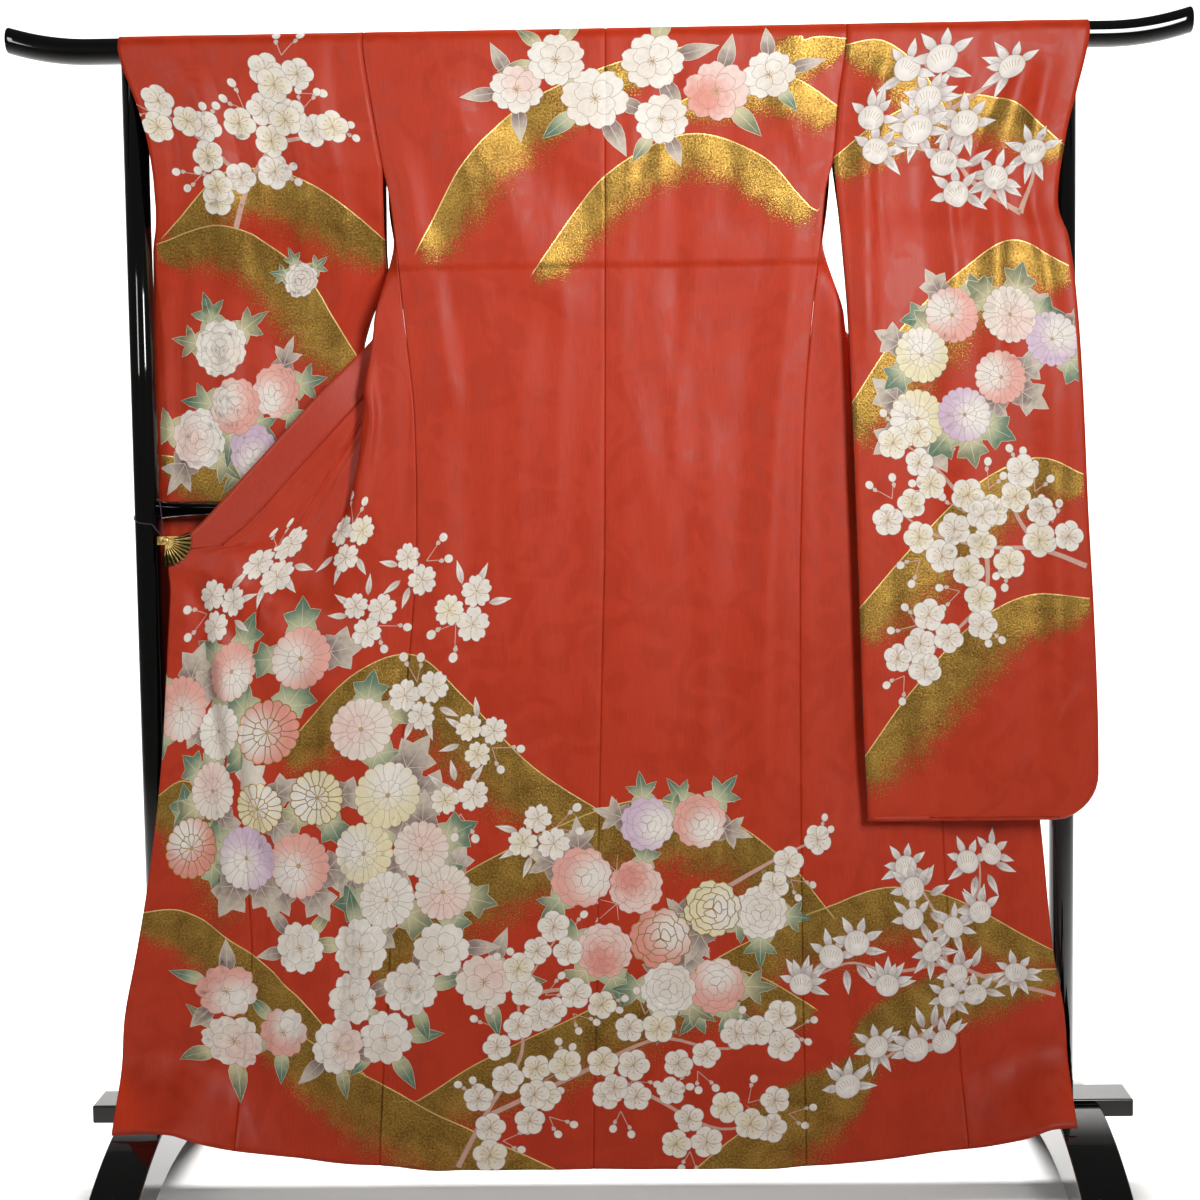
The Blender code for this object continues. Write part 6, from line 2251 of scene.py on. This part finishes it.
@dataclass
class FanClip:
    """The gilt fan clip that holds the spread front by its edge, and its cord."""

    x: float = -0.640
    z: float = 0.976
    y: float = -0.0238
    radius: float = 0.038
    plate: float = 0.0018
    hub_radius: float = 0.0055
    hub_depth: float = 0.0040
    notch: float = 0.0022
    ribs: int = 11
    heart: float = 0.004
    pleat: float = 0.0010
    sheet: float = 0.0006
    shaded_over: float = 0.0012
    first: float = 18.0
    last: float = -100.0
    jaw_reach: float = 0.0125
    jaw_hold: float = 0.0180
    jaw_wall: float = 0.0016
    jaw_height: float = 0.0120
    jaw_y: float = -0.0203
    cord_radius: float = 0.0008
    cord_start: Point = (-0.6468, -0.0236, 0.9834)
    cord_return: tuple[Point, ...] = ((-0.6500, -0.0125, 1.0335), (-0.6475, -0.0168, 1.0200),
                                      (-0.6452, -0.0205, 1.0000), (-0.6440, -0.0232, 0.9834))
    cord_low: float = 1.000
    cord_high: float = 1.036
    cord_steps: int = 20

    def build(self) -> None:
        """Tie the cord first, and then the clip that hangs on it."""
        cord = self._cord()
        clip = stand_in(dressed(self._leaf(), "pleated_fan_clip", BRASS, PATINA_AND_SHADE), "brass", "fan_clip")
        clip.modifiers.new("Even shading", "WEIGHTED_NORMAL")

    def _cord_points(self) -> list[Point]:
        """Follow the cord from the clip, once round the post above the rail, and back to the clip."""
        ring = POST_RADIUS + self.cord_radius + CONTACT
        points = [self.cord_start]
        for step in range(self.cord_steps + 1):
            share = step / self.cord_steps
            angle = -pi / 3 - 2 * pi * 0.92 * share
            height = self.cord_low + (self.cord_high - self.cord_low) * ease(share)
            points.append((-POST_REACH + ring * cos(angle), ring * sin(angle), height))
        return [*points, *self.cord_return]

    def _cord(self) -> bpy.types.Object:
        """Draw the cord as one curve."""
        line = bpy.data.curves.new("post_cord", "CURVE")
        line.dimensions = "3D"
        line.bevel_depth = self.cord_radius
        line.bevel_resolution = 3
        line.use_fill_caps = True
        spline = line.splines.new("POLY")
        points = self._cord_points()
        spline.points.add(len(points) - 1)
        for spot, point in zip(spline.points, points):
            spot.co = (*point, 1.0)
        line.materials.append(CORD_SILK.make())
        cord = bpy.data.objects.new("post_cord", line)
        bpy.context.scene.collection.objects.link(cord)
        return stand_in(cord, "cord", "clip_cord")

    def _leaf(self) -> bmesh.types.BMesh:
        """Fold the fan into pleats, and add its hub and its jaw."""
        shape = bmesh.new()
        steps = 3 * self.ribs - 1
        made = bmesh.ops.create_grid(shape, x_segments=steps, y_segments=8, size=1.0)["verts"]
        for vert in made:
            step, out = round((vert.co.x + 1) / 2 * steps), (vert.co.y + 1) / 2
            angle = radians(self.first + (self.last - self.first) * step / steps)
            groove = step % 3 == 2
            reach = self.heart + (self.radius - self.heart - (self.notch if groove else 0.0)) * out
            fold = self.pleat * min(1.0, out * 2) * (1 if groove else -1)
            vert.co = (self.x + reach * cos(angle), self.y - self.plate / 2 + fold,
                       self.z + reach * sin(angle))
        # The steep flanks of the pleats take the second, dark brass: patina and painted shade of the folds.
        for face in shape.faces:
            heights = [vert.co.y for vert in face.verts]
            face.material_index = int(max(heights) - min(heights) > self.shaded_over)
        bmesh.ops.solidify(shape, geom=shape.faces[:], thickness=self.sheet)
        hub = bmesh.ops.create_uvsphere(shape, u_segments=20, v_segments=10, radius=self.hub_radius)["verts"]
        bmesh.ops.scale(shape, verts=hub, vec=(1.0, self.hub_depth / self.hub_radius * 0.8, 1.0))
        bmesh.ops.translate(shape, verts=hub, vec=(self.x, self.y - self.plate / 2, self.z))
        outer = self.x - self.jaw_reach
        front, back = self.y - self.plate, self.jaw_y + self.jaw_wall
        inner = outer + self.jaw_wall
        outline = [(outer, front), (self.x, front), (self.x, self.y), (inner, self.y), (inner, self.jaw_y),
                   (self.x + self.jaw_hold, self.jaw_y), (self.x + self.jaw_hold, back), (outer, back)]
        low = self.z - self.jaw_height / 2
        extruded(shape, [(x, y, low) for x, y in outline], (0.0, 0.0, self.jaw_height))
        return shape


@dataclass
class Studio:
    """The paper sweep, the lamps and the camera."""

    camera_place: Point = (0.075, -3.34, 1.149)
    pitch: float = radians(4.62)
    yaw: float = radians(-1.38)
    roll: float = radians(-0.80)
    lens: float = 68.28
    sensor: float = 36.0
    paper_half: float = 9.0
    paper_ahead: float = 3.0
    floor_end: float = 5.0
    bend: float = 1.0

    def build(self) -> None:
        """Set the camera first, then the paper and the lamps."""
        self._camera()
        self._paper()
        self._lamp("right strip", (1.15, -2.4, 2.20), (0.0, 0.0, 1.36), (0.50, 1.3), 13.0, 78.0)
        self._lamp("left strip", (-1.7, -2.3, 2.10), (-0.05, 0.0, 1.36), (0.40, 1.4), 5.0, 90.0)
        self._lamp("wall", (0.0, 2.2, 4.8), (0.0, 4.9, 0.8), (5.0, 2.4), 400.0, 130.0, mirrored=False)
        self._lamp("floor", (0.0, 1.4, 3.5), (0.0, 0.9, 0.0), (3.4, 0.8), 75.0, 90.0, mirrored=False)
        world = bpy.data.worlds.new("soft room")
        world.use_nodes = True
        world.node_tree.nodes["Background"].inputs[0].default_value = colour("#F4F2EF")
        world.node_tree.nodes["Background"].inputs[1].default_value = 0.10
        bpy.context.scene.world = world
        bpy.context.scene.view_settings.view_transform = "Standard"

    def _camera(self) -> None:
        """Look at the kimono's back from the photograph's place."""
        cp, sp, cy, sy = cos(self.pitch), sin(self.pitch), cos(self.yaw), sin(self.yaw)
        ahead = Vector((sy * cp, cy * cp, -sp))
        right = Vector((cy, -sy, 0.0))
        up = right.cross(ahead)
        lean, rise = cos(self.roll), sin(self.roll)
        right, up = right * lean + up * rise, up * lean - right * rise
        view = Matrix((right, up, -ahead)).transposed().to_4x4()
        data = bpy.data.cameras.new("camera")
        data.lens = self.lens
        data.sensor_width = self.sensor
        camera = bpy.data.objects.new("camera", data)
        camera.matrix_world = Matrix.Translation(self.camera_place) @ view
        bpy.context.scene.collection.objects.link(camera)
        bpy.context.scene.camera = camera

    def _paper(self) -> None:
        """Bend one sheet of paper from floor to wall."""
        shape = bmesh.new()
        made = bmesh.ops.create_grid(shape, x_segments=2, y_segments=60, size=1.0)["verts"]
        for vert in made:
            past = vert.co.y * self.paper_half + self.paper_ahead - self.floor_end
            turn = min(max(past / self.bend, 0.0), pi / 2)
            vert.co = (vert.co.x * self.paper_half, self.floor_end + min(past, 0.0) + self.bend * sin(turn),
                       self.bend * (1 - cos(turn)) + max(past - self.bend * pi / 2, 0.0))
        paper = dressed(shape, "paper_sweep", PAPER)

    def _lamp(self, name: str, place: Point, goal: Point, size: Flat, power: float, spread: float,
              mirrored: bool = True) -> None:
        """Hang one soft lamp, with a beam of so many degrees, seen in the lacquer's gloss or not.

        Args:
            name: The lamp's name.
            place: Where it hangs.
            goal: Where it points.
            size: Its two sides.
            power: Its power in watts.
            spread: The beam's angle in degrees.
            mirrored: Whether gloss mirrors it.
        """
        data = bpy.data.lights.new(name, "AREA")
        data.shape = "RECTANGLE"
        data.size, data.size_y = size
        data.energy = power
        data.spread = radians(spread)
        lamp = bpy.data.objects.new(name, data)
        lamp.visible_glossy = mirrored
        aim = Vector(goal) - Vector(place)
        lamp.matrix_world = Matrix.Translation(place) @ aim.to_track_quat("-Z", "Y").to_matrix().to_4x4()
        bpy.context.scene.collection.objects.link(lamp)


def main() -> None:
    """Build every piece and dress it."""
    logging.basicConfig(level=logging.INFO, format="%(message)s")
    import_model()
    for part in (Studio(), FanClip(), Rack(), Kimono()):
        part.build()
        LOG.info("%s done", type(part).__name__)


if __name__ == "__main__":
    main()
